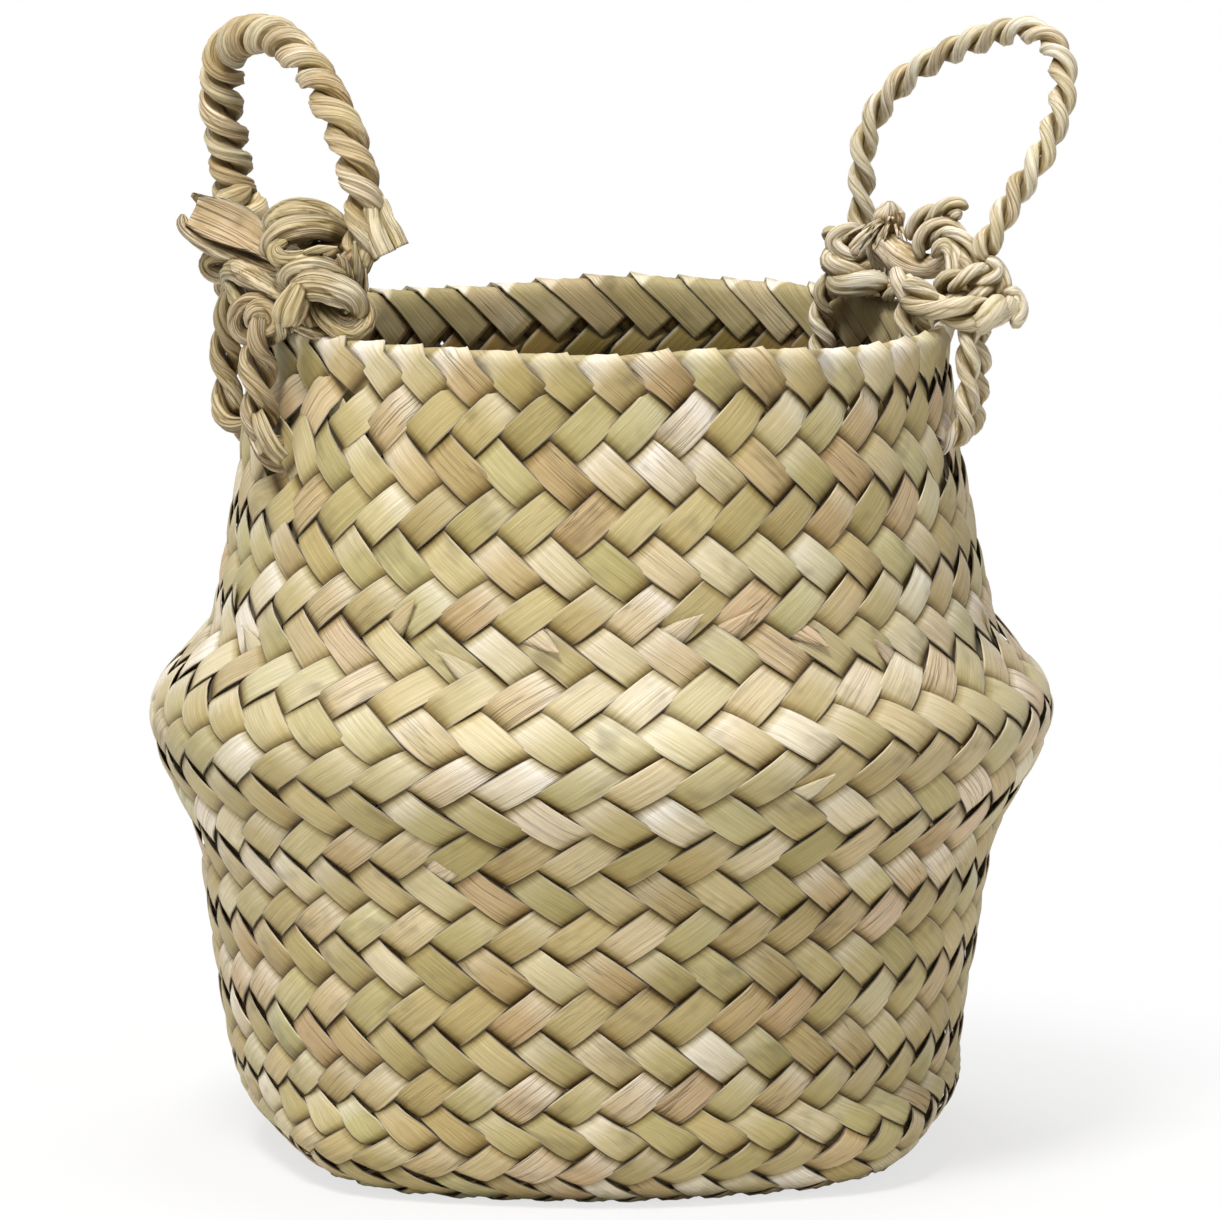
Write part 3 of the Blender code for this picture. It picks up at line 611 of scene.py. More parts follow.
# Each tip's bearing in degrees, its row, the way its strip leans, and whether it points up or down.
tip_places = [(-107.5, 28.5, -1, 1), (-97.0, 30.5, -1, -1), (-81.0, 30.5, 1, 1), (-70.0, 30.5, 1, 1),
              (-39.0, 28.5, -1, 1), (-160.0, 30.5, 1, 1), (-148.0, 28.5, -1, 1), (-122.0, 30.5, 1, 1),
              (-56.0, 30.5, -1, -1), (-14.0, 28.5, -1, 1), (18.0, 30.5, 1, 1), (47.0, 28.5, -1, 1),
              (81.0, 30.5, 1, 1), (112.0, 28.5, -1, 1), (139.0, 30.5, 1, 1), (165.0, 30.5, -1, -1),
              (-62.0, 22.5, 1, 1), (-112.0, 18.5, 1, -1), (72.0, 14.5, 1, 1)]
for number, (bearing, row_start, hand, upward) in enumerate(tip_places, 1):
    share = np.linspace(0, 1, 14)[:, None]
    along = -tip_root + share * (tip_root + tip_reach * rng.uniform(0.85, 1.15))
    half = tip_half_width * rng.uniform(0.8, 1.0) * np.clip(1 - share ** 2.2, 0.03, 1)
    columns = hand * upward * tip_columns[None, :]
    across = columns * half + rng.uniform(-0.35, 0.35) * share
    slide = round((math.radians(bearing) - first_side_angle) / column_angle - hand * row_start / 2)
    slide = slide + hand * row_start / 2 + hand * upward * along / 2 - hand * across / 2
    climb = row_start / 2 + upward * along / 2
    own = np.where(hand < 0, 1, -1) * weave_wave(2 * climb)
    stand = (tip_stand + tip_curl * np.clip(along / tip_reach, 0, 2) ** 2) * MM
    lift = weave_rise * own + stand + tip_lifts[None, :]
    lift = lift + rng.uniform(-0.5, 0.5) * MM * (across / tip_half_width) * share
    points = squared_foot(place_on_wall(first_side_angle + slide * column_angle, climb + across / 2, lift))
    shape = across.shape
    place = at_each(shape, across * grain_across, along * grain_along, rng.uniform(0, grain_spread))
    tone = at_each(shape, *rng.uniform((0, 0.3, 0), (0.5, 1.0, 0.5)))
    tip = add_piece("spliced_tip_{:02d}".format(number), points, tube_faces(shape), plait_leaf, place, tone,
                    at_each(shape, columns, 0, 0.97))
    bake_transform(tip)

# Left handle loop: a thick rope of two bundles of the same leaf, twisted leftwards, brown and wrinkled.
# Both its legs end in the knots on the rim, where the loop can swing.
left_rope_leaf = leaf_material("left_rope_twisted_leaf", {
    "Straw": (240, 217, 168), "Green": (226, 205, 150), "Dry": (236, 207, 162),
    "Pale": (252, 242, 214), "Stain_and_shade": (106, 74, 24)}, bump=0.45 * MM, furrows=0.85, depth=0.62)
ring_angles = np.linspace(0, 2 * math.pi, 28, endpoint=False)
# How far apart the rope's rings lie and how long its drifts are, in millimetres. The creases are shares of
# a bundle's size, and a strand's offset and half thickness are shares of the rope's radius.
ring_spacing, bundle_drift, twist_drift = 0.8, 5.5, 9.0
wide_crease, narrow_crease = 0.17, 0.085
strand_offset, strand_half = 0.49, 0.50


def even_route(points, spacing):
    """Evenly spaced places on a smooth curve through given points, all in millimetres."""
    marks = np.asarray(points, float)
    marks = np.vstack((2 * marks[0] - marks[1], marks, 2 * marks[-1] - marks[-2]))
    t = np.linspace(0, 1, 24, endpoint=False)[:, None]
    parts = []
    for a, b, c, d in zip(marks, marks[1:], marks[2:], marks[3:]):
        parts.append(0.5 * (2 * b + (c - a) * t + (2 * a - 5 * b + 4 * c - d) * t ** 2
                            + (3 * b - a - 3 * c + d) * t ** 3))
    dense = np.vstack(parts + [marks[-2:-1]])
    arc = np.concatenate(((0,), np.cumsum(np.linalg.norm(np.diff(dense, axis=0), axis=1))))
    wanted = np.linspace(0, arc[-1], max(int(arc[-1] / spacing), 6) + 1)
    return np.stack([np.interp(wanted, arc, dense[:, k]) for k in range(3)], 1), wanted


def unit(vectors):
    """Vectors of length one."""
    return vectors / np.maximum(np.linalg.norm(vectors, axis=-1, keepdims=True), 1e-9)


def turned_frames(line):
    """A forward, side and upward direction at each place, with no sudden twist."""
    ahead = unit(np.gradient(line, axis=0))
    side = np.empty_like(line)
    start = np.array((0, 0, 1.0)) if abs(ahead[0][2]) < 0.8 else np.array((1.0, 0, 0))
    side[0] = unit(np.cross(start, ahead[0]))
    for place in range(1, len(line)):
        carried = side[place - 1] - ahead[place] * side[place - 1].dot(ahead[place])
        side[place] = unit(carried)
    return ahead, side, np.cross(ahead, side)


def along_route(arc, values):
    """A value at each place of a route, from one value or a few evenly spread along it."""
    values = np.atleast_1d(values)
    return np.interp(arc / arc[-1], np.linspace(0, 1, len(values)), values)


def bundle(line, arc, side, up, wide, thick, inward, fold=1.0):
    """One bundle of folded leaf along a line: its rings of points and what its material needs."""
    noise = slow_noise(7, arc, bundle_drift)
    start = rng.uniform(0, math.pi)
    angle = ring_angles[None, :] + 0.25 * noise[6][:, None]
    wide_fold = np.abs(np.sin(1.5 * angle + 1.3 * noise[0][:, None] + start))
    narrow_fold = np.abs(np.sin(3.5 * angle + 1.8 * noise[1][:, None] + 2 * start))
    crease = fold * (wide_crease * (wide_fold ** 0.7 - 0.72) + narrow_crease * (narrow_fold ** 0.8 - 0.68))
    size = 1 + crease + 0.05 * noise[3][:, None]
    tip = np.sqrt(np.clip(np.minimum(arc + 0.25, arc[-1] - arc + 0.25) / (0.8 * np.max(wide)), 0.02, 1))
    wide = wide * tip * (1 + 0.05 * noise[4])
    thick = thick * tip * (1 + 0.05 * noise[5])
    rings = (line[:, None] + side[:, None] * (np.cos(angle) * size * wide[:, None])[..., None]
             + up[:, None] * (np.sin(angle) * size * thick[:, None])[..., None])
    shade = np.clip(1 - wide_fold / 0.32, 0, 1) * 0.75 + np.clip(1 - narrow_fold / 0.38, 0, 1) * 0.42
    turned_in = (unit(rings - line[:, None]) * inward[:, None]).sum(-1)
    shade = np.maximum(np.clip(shade, 0, 0.9), ease(0.15, 0.9, turned_in) * 0.9)
    seed = rng.uniform(0, grain_spread)
    own = rng.uniform(0, 1, 3)
    place = at_each(angle.shape, np.abs(angle - math.pi) * np.mean(wide) * 1.3, arc, seed)
    tone = at_each(angle.shape, np.clip(own[0] * 0.7 + 0.35 * noise[0], 0, 1),
                   np.clip(own[1] * 0.8 + 0.3 * noise[3], 0, 1),
                   np.clip(own[2] * 0.5 + 0.45 * noise[5] - 0.1, 0, 1))
    return rings, place, tone, at_each(angle.shape, 0, shade, 0.98 + 0.10 * noise[1])


rope_pieces = []


def make_piece(name, tubes, material, body, slot, *replaced):
    """One piece from closed tubes of points in millimetres, held by a body."""
    faces, start = [], 0
    for rings, *_ in tubes:
        faces += tube_faces(rings.shape, start, turned=True)
        start += rings.shape[0] * rings.shape[1]
    points, *told = (np.vstack([tube[part].reshape(-1, 3) for tube in tubes]) for part in range(4))
    piece = add_piece(name, points * MM, faces, material, *told)
    rope_pieces.append(piece)
    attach(piece, body)
    if replaced:
        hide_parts(*replaced)


def twisted_rope(points, radius, pitch, phase=0.0, fullness=0.57, uneven_turn=0.22):
    """Two bundles wound round each other along a route: the tubes of one rope."""
    line, arc = even_route(points, ring_spacing)
    radius, pitch = along_route(arc, radius), along_route(arc, pitch)
    ahead, side, up = turned_frames(line)
    uneven = slow_noise(3, arc, twist_drift)
    wound = np.cumsum(2 * math.pi * np.gradient(arc) / pitch)
    tubes = []
    for strand in (0, 1):
        turn = phase + strand * math.pi - wound + uneven_turn * uneven[2]
        out = np.cos(turn)[:, None] * side + np.sin(turn)[:, None] * up
        across = np.cross(out, ahead)
        size = radius * (1 + 0.05 * uneven[strand])
        centre = line + out * (size * strand_offset)[:, None]
        tubes.append(bundle(centre, arc, across, out, size * fullness, size * strand_half, -out))
    return tubes


def single_bundle(points, wide, thick, facing, spacing=ring_spacing, fold=1.2, axis=None):
    """One loose bundle along a route, its broad side turned in a direction or away from an upright axis."""
    line, arc = even_route(points, spacing)
    ahead = unit(np.gradient(line, axis=0))
    facing = np.broadcast_to(np.asarray(facing, float), line.shape)
    if axis is not None:
        facing = unit((line - np.array((*axis, 0))) * (1, 1, 0)) + facing * 0.3
    out = unit(facing - ahead * (ahead * facing).sum(-1, keepdims=True))
    across = np.cross(out, ahead)
    return bundle(line, arc, across, out, along_route(arc, wide), along_route(arc, thick), -out * 0.8, fold)


def loop_points(foot, end, axis_height, rise, lean, shares):
    """A handle's route from leg to leg, in millimetres, from its shares along, up and outward."""
    foot, end = np.array((*foot, axis_height)), np.array((*end, axis_height))
    along = end - foot
    outward = unit(np.array((along[1], -along[0], 0)))
    outward = outward if outward.dot(foot) > 0 else -outward
    return [foot + along * a + np.array((0, 0, rise)) * b + outward * lean * c for a, b, c in shares]


left_loop_route = loop_points((-89, 14), (-56, -46), axis_height=230, rise=43.5, lean=5.5, shares=(
    (0, 0, 0), (0, 0.20, 0.20), (0, 0.40, 0.50), (0.02, 0.63, 0.80), (0.08, 0.86, 1), (0.24, 0.985, 1),
    (0.46, 1, 0.80), (0.70, 0.83, 0.55), (0.86, 0.58, 0.30), (0.95, 0.34, 0.10), (0.995, 0.16, 0), (1, 0, 0)))
left_loop_route = [(-88.0, 12.4, 222.5)] + left_loop_route + [(-57.0, -45.4, 222.5)]
make_piece("left_handle_rope", twisted_rope(
    left_loop_route, radius=(5.7, 5.7, 5.5, 5.2, 4.9, 4.7, 4.9, 5.1, 5.1), pitch=(15, 14, 15, 17, 20, 22),
    phase=0.4, fullness=0.70, uneven_turn=0.42), left_rope_leaf, "left_handle", "left_rope", "left_loop")

# A fat turn hides the foot of the loop's side leg, where the loop pivots.
side_leg_x, side_leg_y, foot_turn_radius, foot_turn_height = -88.0, 12.6, 4.0, 227.8
foot_turn = [(side_leg_x + foot_turn_radius * math.cos(turn), side_leg_y + foot_turn_radius * math.sin(turn),
              foot_turn_height + 1.15 * turn + 1.5 * math.cos(turn)) for turn in np.linspace(-2.6, 5.4, 22)]
make_piece("left_handle_foot_turn", [
    single_bundle(foot_turn, (2.4, 3.4, 3.7, 3.7, 3.4, 2.2), (2.0, 2.8, 3.0, 3.0, 2.8, 2.0), (0, 0, 0),
        fold=1.4, axis=(side_leg_x, side_leg_y))], left_rope_leaf, "left_handle", "left_rope")

# Loose leaf ends at the foot of the left loop's front leg: the rope's outer leaves come undone there and
# flare out, curled by drying. They are part of the loop and swing with it.
blade_columns = np.array((-1, -0.66, -0.33, 0, 0.33, 0.66, 1, 0.8, 0.4, 0, -0.4, -0.8))[None, :]
blade_half_thickness, blade_spacing, blade_drift, pleat_count = 0.24, 0.7, 3.0, 7
blade_lifts = np.array((0, 1, 1, 1, 1, 1, 0, -1, -1, -1, -1, -1))[None, :] * blade_half_thickness


def leaf_blade(points, widths, curl, facing, ripple=0.25):
    """A flat leaf end along a route, curled across its width: one tube."""
    line, arc = even_route(points, blade_spacing)
    ahead = unit(np.gradient(line, axis=0))
    facing = np.asarray(facing, float)
    normal = unit(facing[None, :] - ahead * (ahead @ facing)[:, None])
    side = np.cross(ahead, normal)
    half = along_route(arc, widths)[:, None] / 2
    bend = along_route(arc, curl)[:, None]
    noise = slow_noise(4, arc, blade_drift)
    sideways = half / bend * np.sin(blade_columns * bend)
    pleats = np.cos(blade_columns * pleat_count + 2 * noise[0][:, None]) * (0.6 + 0.4 * noise[1][:, None])
    lifted = half / bend * (1 - np.cos(blade_columns * bend)) + ripple * pleats + blade_lifts
    rings = line[:, None] + side[:, None] * sideways[..., None] + normal[:, None] * lifted[..., None]
    shape = sideways.shape
    place = at_each(shape, blade_columns * half, arc, rng.uniform(0, grain_spread))
    own = rng.uniform(0, 1, 3)
    shade = np.clip(-1.4 * pleats - 0.6, 0, 1) * 0.5
    return (rings, place, at_each(shape, own[0] * 0.8, own[1] * 0.9, own[2] * 0.5),
            at_each(shape, blade_columns, shade, 1 + 0.08 * noise[2]))


make_piece("left_handle_flared_ends", [
    leaf_blade([(-54.8, -47.6, 241), (-54.6, -50.0, 234.0), (-53.8, -51.4, 229.4), (-51.6, -51.8, 224.4)],
        (5.4, 8.0, 9.0, 8.2), (2.0, 1.8, 1.5, 1.2), (0.15, 1, 0), 0.09),
    leaf_blade([(-52.6, -47.0, 239), (-50.0, -49.2, 233.2), (-48.0, -50.0, 229.8), (-46.6, -50.4, 226.8)],
        (4.4, 6.2, 6.8, 6.2), (2.1, 1.8, 1.5), (-0.6, 1, 0.1), 0.09),
    leaf_blade([(-51.8, -46.4, 237), (-50.4, -47.2, 234.6), (-49.6, -48.0, 233.4)], (2.6, 2.4, 1.2),
        (1.4, 1.0), (0.2, 1, 0.4), 0.1),
    single_bundle([(-54.2, -45.8, 236), (-55.0, -46.6, 229), (-56.6, -47.6, 223.0), (-58.0, -47.6, 218.6)],
        (2.6, 2.8, 2.8, 2.2), (2.4, 2.5, 2.5, 2.0), (0.2, -1, 0)),
], left_rope_leaf, "left_handle", "left_rope")

# Left front knot: the rope's end is wound round the loop's front leg and pulled under itself, so it sits on
# the rim as a lump of fat, folded bundles. They are of the same twisted leaf, in browner colours than the
# loop.
left_knot_leaf = leaf_material("left_knot_twisted_leaf", {
    "Straw": (216, 193, 148), "Green": (202, 183, 136), "Dry": (211, 184, 144),
    "Pale": (242, 230, 200), "Stain_and_shade": (66, 40, 9)}, bump=0.50 * MM, furrows=1.0)


def left_piece(name, tubes, *replaced):
    """A piece of the left handle's knots and lashings, which are fixed to the neck."""
    make_piece(name, tubes, left_knot_leaf, "neck", "left_rope", *replaced)


def coil_points(middle, radius_x, radius_y, low, high, turns, start, wobble=0.6):
    """A hand-wound coil round an upright axis, in millimetres."""
    steps = int(turns * 14)
    marks = []
    for step in range(steps + 1):
        share = step / steps
        angle = math.radians(start) + share * turns * 2 * math.pi
        swell = 1 + 0.16 * math.sin(math.pi * share) + wobble * 0.08 * math.sin(5.3 * angle + start)
        height = low + (high - low) * share + wobble * math.sin(2.1 * angle + start)
        marks.append((middle[0] + radius_x * swell * math.cos(angle),
                      middle[1] + radius_y * swell * math.sin(angle), height))
    return marks


left_piece("left_front_knot_coils", [
    *twisted_rope(coil_points((-66.6, -43.0), radius_x=6.0, radius_y=5.4, low=206.8, high=227.4, turns=2.3,
        start=40), radius=3.9, pitch=21.0),
    single_bundle([(-78.6, -31, 226.6), (-78.2, -33, 230.4), (-75.6, -35, 232.6), (-72.0, -36, 233.4),
        (-67.6, -36.5, 233.0), (-63.6, -36.8, 231.2), (-60.8, -38.2, 228.2)],
        (2.2, 3.1, 3.5, 3.6, 3.4, 2.9, 2.2), (2.2, 2.8, 3.0, 3.0, 2.9, 2.5, 2.0), (0.1, -0.7, 1)),
    single_bundle([(-79.0, -38, 222.4), (-78.4, -41, 226.4), (-75.2, -43.2, 229.2), (-70.2, -43.4, 230.4),
        (-65.2, -41.6, 230.0), (-61.0, -39.8, 228.0), (-58.4, -38.8, 224.8)],
        (2.2, 2.9, 3.3, 3.4, 3.2, 2.7, 2.2), (2.0, 2.4, 2.7, 2.7, 2.5, 2.2, 1.8), (0, -1, 0.6)),
], "left_front_knot")
left_piece("left_front_knot_middle_turn", [
    single_bundle([(-74.6, -45.5, 227.4), (-77.2, -48.2, 225.4), (-76.2, -50.8, 223.8),
        (-72.4, -51.8, 223.6), (-68.4, -51.0, 224.8)], (1.4, 2.0, 2.2, 2.0, 1.5), (1.3, 1.7, 1.7, 1.6, 1.2),
        (-0.2, -1, 0.2)),
    single_bundle([(-71.6, -46, 215.6), (-74.2, -50, 218.9), (-72.2, -53.0, 221.3), (-67.6, -54.0, 221.7),
        (-62.6, -53.6, 220.4), (-58.8, -51.5, 218.0), (-57.2, -48, 214.6)],
        (2.0, 2.9, 3.3, 3.4, 3.1, 2.6, 1.9), (1.8, 2.3, 2.5, 2.5, 2.3, 2.0, 1.7), (0, -1, 0.35)),
], "left_front_knot")
# Three strands lie side by side in an open turn, each nearer to its middle than the last.
open_turn = [(-68.6, -52.0, 214.0), (-66.4, -54.6, 210.4), (-62.6, -56.2, 206.9), (-58.2, -56.2, 205.9),
             (-54.9, -54.8, 208.8), (-55.2, -52.6, 212.8), (-57.6, -50.0, 215.6)]
turn_middle = np.array((-61.4, -53.6, 211.8))
open_strands = []
for nearer in (0.0, 0.26, 0.52):
    strand = [turn_middle + (np.array(mark) - turn_middle) * (1 - nearer) + (0, 0.9 * nearer, 0)
              for mark in open_turn]
    open_strands.append(single_bundle(strand, (1.2, 1.6, 1.8, 1.8, 1.7, 1.6, 1.2), 1.3, (-0.1, -1, -0.1),
        spacing=0.7, fold=0.9))
left_piece("left_front_knot_lower_turn", [
    *open_strands,
    single_bundle([(-73.0, -50.5, 215.4), (-70.4, -55.2, 217.6), (-67.0, -57.4, 218.2),
        (-62.8, -57.8, 217.2), (-59.0, -56.8, 215.2), (-57.2, -54.6, 212.0), (-58.4, -52.0, 209.2)],
        (2.4, 3.3, 3.9, 3.9, 3.5, 2.8, 2.0), (1.8, 2.1, 2.4, 2.4, 2.3, 2.0, 1.6), (0, -1, 0.3), fold=1.5),
    single_bundle([(-71.0, -50.0, 215.5), (-70.0, -51.6, 211.0), (-67.6, -51.6, 206.6)], (2.2, 2.6, 2.2),
        (1.8, 2.0, 1.8), (0.3, -1, 0))], "left_front_knot")
# The rope's cut end hangs down in front, a brush with fine fibres at its edge.
brush_fibres = 16
cut_brush = [
    single_bundle([(-70.6, -54.4, 218.8), (-72.2, -57.4, 215.8), (-74.2, -58.4, 212.0),
        (-75.2, -58.0, 208.2)], (1.7, 2.7, 3.3, 3.5), (1.5, 2.2, 2.6, 2.4), (-0.3, -1, 0.1), fold=1.5),
    single_bundle([(-69.6, -55.2, 217.6), (-70.4, -57.2, 213.8), (-72.0, -57.4, 210.0),
        (-72.8, -56.6, 208.2)], (1.2, 1.9, 2.0, 1.7), (1.2, 1.5, 1.6, 1.4), (0.7, -1, 0))]
for fibre in range(brush_fibres):
    root = np.array((-75.4 + 0.24 * fibre, -58.4 + 0.12 * fibre, 209.4))
    drop = np.array((rng.normal(-0.2, 0.5), rng.normal(0, 0.5), rng.uniform(-3.2, -1.8)))
    cut_brush.append(leaf_blade([root, root + drop * 0.5, root + drop], (0.8, 0.6, 0.25), 0.3,
        (0.1, -1, 0), 0.05))
left_piece("left_front_knot_upright", cut_brush, "left_front_knot")
left_piece("left_front_knot_tuft", [leaf_blade(*blade) for blade in (
    ([(-70.0, -53.0, 224.5), (-66.5, -54.6, 226.0), (-62.2, -55.2, 226.7)], (3.2, 2.8, 0.6), 0.8,
     (0, 1, 0.3), 0.2),
    ([(-62.5, -53.0, 217), (-61.2, -54.8, 222.0), (-62.2, -55.2, 225.2)], (3.4, 3.2, 0.7), 0.9,
     (0.2, 1, 0), 0.2),
    ([(-58.6, -52.0, 214), (-58.0, -53.8, 220.5), (-58.3, -54.0, 228.2)], (3.6, 4.2, 0.7), 1.1,
     (0.3, 1, 0), 0.3),
    ([(-60.6, -53.0, 215), (-59.6, -54.6, 219.5), (-60.4, -54.8, 224.4)], (3.0, 3.2, 0.8), 0.9,
     (0.1, 1, 0), 0.2),
    ([(-66.6, -52.0, 223.2), (-66.2, -53.0, 225.0), (-65.8, -54.0, 226.2)], (1.8, 1.2, 0.5), 0.5,
     (0, 1, 0.2), 0.1),
    ([(-57.6, -50.5, 213), (-56.6, -51.4, 217.5), (-56.2, -51.4, 221.6)], (3.0, 3.6, 1.4), 0.9,
     (0.8, 1, 0), 0.2))])
inner_strands = []
for fan in np.linspace(0, 1, 5):
    inner_strands.append(leaf_blade(
        [(-73.5 + 2 * fan, -52.0 - fan, 208.2), (-69.0 + 3 * fan, -53.0, 206.0 + 0.5 * fan),
         (-64.4 + 2.5 * fan, -50.6 + 1.5 * fan, 204.4), (-60.6 + 2 * fan, -47.5 + 2 * fan, 201.5),
         (-59.4 + 2.2 * fan, -44.5 + 2 * fan, 196.0 + rng.uniform(-2, 2))],
        (2.2, 2.8, 2.8, 2.4, 1.2), 0.9, (0.3, 0.6, -0.8), 0.15))
left_piece("left_front_knot_inner_strands", inner_strands)

# Left side knot: the same rope wound round the loop's other leg. It stands on the rim at the basket's left
# and holds the looped tail, the small hanging loop and the leaf that opens out like a trumpet.
left_piece("left_side_knot_coils", twisted_rope(coil_points((-85.4, 10.0), radius_x=5.4, radius_y=6.2,
    low=206.8, high=221.5, turns=2.4, start=300), radius=3.5, pitch=19.0), "left_side_knot")
left_piece("left_looped_tail", [
    single_bundle([(-84.0, -6, 215.5), (-87.6, -9.5, 219.4), (-92.4, -9.5, 220.2), (-95.2, -8.6, 218.8),
        (-95.0, -8.0, 216.6), (-92.6, -8.4, 215.2), (-88.8, -9.5, 215.2), (-85.0, -11, 215.6)],
        (1.9, 2.3, 2.4, 2.2, 2.2, 2.4, 2.3, 1.8), (1.7, 2.0, 2.0, 1.8, 1.8, 2.0, 2.0, 1.6), (-0.2, -1, 0)),
], "left_tail")
left_piece("left_trumpet_leaf", [
    leaf_blade([(-73.5, -28.0, 218.6), (-78.0, -24.0, 220.6), (-83.0, -19.5, 223.6), (-88.5, -15.5, 226.4),
        (-94.0, -13.0, 228.8), (-98.6, -11.8, 230.6)], (6, 9, 13, 15.5, 14, 9),
        (2.0, 1.8, 1.5, 1.3, 1.1, 0.9), (0.25, -1, 0.35), 0.22),
    leaf_blade([(-90.0, -11.0, 229.5), (-94.5, -9.6, 232.0), (-97.8, -9.8, 234.2), (-98.8, -10.6, 235.0)],
        (6, 7, 4, 1.5), (0.9, 0.8), (0.2, -0.9, 0.3), 0.15),
    single_bundle([(-72.6, -30.0, 217.0), (-78.4, -26.8, 217.8), (-84.0, -22.4, 219.4),
        (-90.0, -18.4, 221.6), (-96.2, -15.4, 224.2), (-100.6, -13.4, 227.4), (-101.0, -12.0, 230.4)],
        (1.6, 2.1, 2.3, 2.3, 2.2, 1.9, 1.3), (1.4, 1.6, 1.7, 1.7, 1.6, 1.4, 1.0), (-0.1, -1, 0.4), fold=1.4),
], "left_leaf_end")
left_piece("left_small_hanging_loop", [
    single_bundle([(-77.4, -45.0, 211.0), (-80.2, -43.8, 212.4), (-83.8, -42.0, 212.2),
        (-86.4, -40.2, 210.0), (-87.0, -39.4, 206.6), (-85.6, -39.8, 204.0), (-82.8, -41.5, 203.2),
        (-79.8, -43.5, 204.2)], (1.8, 2.1, 2.3, 2.4, 2.3, 2.0, 1.9, 1.6),
        (1.6, 1.9, 2.0, 2.0, 1.9, 1.8, 1.7, 1.5), (-0.4, -1, 0)),
    single_bundle([(-82.6, -42.0, 206.4), (-83.2, -44.4, 208.8), (-81.6, -46.2, 211.0),
        (-78.6, -47.2, 210.8), (-77.6, -47.2, 208.4), (-79.2, -46.4, 206.4), (-81.6, -45.0, 206.2)],
        (1.6, 2.0, 2.3, 2.3, 2.2, 2.0, 1.6), (1.5, 1.8, 2.0, 2.0, 1.9, 1.8, 1.5), (-0.3, -1, 0))])
left_piece("left_outer_strand", [
    single_bundle([(-88.5, -3, 212), (-89.6, -12, 214.5), (-89.4, -22, 217.4), (-87.2, -31, 218.6),
        (-83.6, -38, 217.8), (-79.0, -43, 215.8), (-74.6, -47.5, 214.4), (-72.0, -49.5, 216.4)],
        (1.8, 2.2, 2.4, 2.6, 2.8, 2.8, 2.4, 1.8), (1.7, 2.0, 2.1, 2.2, 2.3, 2.3, 2.0, 1.6), (-0.4, -1, 0.3)),
    single_bundle([(-89.0, -14, 213.5), (-88.6, -24, 214.6), (-86.8, -32, 212.4), (-84.0, -38.0, 208.6)],
        (1.6, 2.1, 2.4, 1.8), (1.5, 1.8, 2.0, 1.6), (-0.4, -1, 0.1))])

# Left bridge and cross rope: two runs of the rope between the knots, one arched over the other, which lies
# along the rim. They are pulled tight under the coils at both ends.
left_piece("left_bridge_rope", twisted_rope([(-86, 5, 217), (-84.0, -4, 221.4), (-79.5, -15, 223.6),
    (-75.0, -26, 223.0), (-70.5, -36.5, 218)], radius=3.7, pitch=21.0, phase=1.1), "left_bridge")
left_piece("left_cross_rope_on_rim", twisted_rope([(-86, 7, 208.5), (-85.2, -2, 207.6),
    (-82.8, -14, 207.6), (-78.0, -26, 207.8), (-71.5, -37, 208.8)], radius=3.7, pitch=21.0, phase=0.3),
    "left_cross_rope")

# Left lashings: the rope goes down outside the neck, in through a hole between the strips and up the
# inside to the knot again. The front one's outer end is cut off square just above its hole.
hole_height, lashed_outside, lashed_inside = 175.5, 87.7, 80.7
lower_rise, upper_rise = 9, 17


def lashing_points(turn, stand_off, outer_top, inner_top, sway):
    """Down outside the neck, in through the hole and up the inside, in millimetres."""
    outside, inside = lashed_outside + stand_off, lashed_inside - stand_off
    bend, middle = (outside - inside) / 2, (outside + inside) / 2
    low = hole_height + bend
    route = [(outside + 0.3, low + upper_rise, 0), (outside + 0.5, low + lower_rise, sway), (outside, low, 0)]
    route += [(middle + bend * math.cos(a), low - bend * math.sin(a), 0)
              for a in np.linspace(0, math.pi, 7)[1:]]
    route += [(inside, low + lower_rise, 0), (inside, low + upper_rise, 0)]
    cos_t, sin_t = math.cos(math.radians(turn)), math.sin(math.radians(turn))
    marks = [(r * cos_t - aside * sin_t, r * sin_t + aside * cos_t, z) for r, z, aside in route]
    return outer_top + marks + inner_top


for name, turn, stand_off, outer_top, inner_top, sway, radius, pitch, phase in (
        ("left_side_lashing", 177, 3.4, [(-86.0, 2.5, 214), (-88.6, 1.0, 209)],
         [(-79.5, 4.5, 208.5), (-83, 7, 211)], -1.5, 4.2, 24.0, 0.9),
        ("left_front_lashing", 208, 4.4, [(-74.5, -47.0, 212), (-78.4, -46.0, 207.5)],
         [(-68, -39.5, 206.5), (-67, -42, 211)], 0.8, 4.8, 23.0, 0.1)):
    route = lashing_points(turn, stand_off, outer_top, inner_top, sway)
    left_piece(name + "_rope", twisted_rope(route, radius, pitch, phase), name)
left_piece("left_front_lashing_cut_end", [
    leaf_blade([(-81.5, -46.5, 186.5), (-79.8, -49.3, 182.0), (-77.5, -50.4, 178.0), (-75.3, -50.6, 175.6)],
        (4, 5.5, 5.5, 4.5), (0.9, 0.6, 0.4), (-0.6, -1, 0.1)),
    leaf_blade([(-83.5, -44.5, 184.5), (-82.0, -47.0, 180.0), (-80.5, -48.4, 176.8)], (3.5, 4.5, 3.5),
        (0.9, 0.6, 0.4), (-0.8, -0.8, 0.1))])

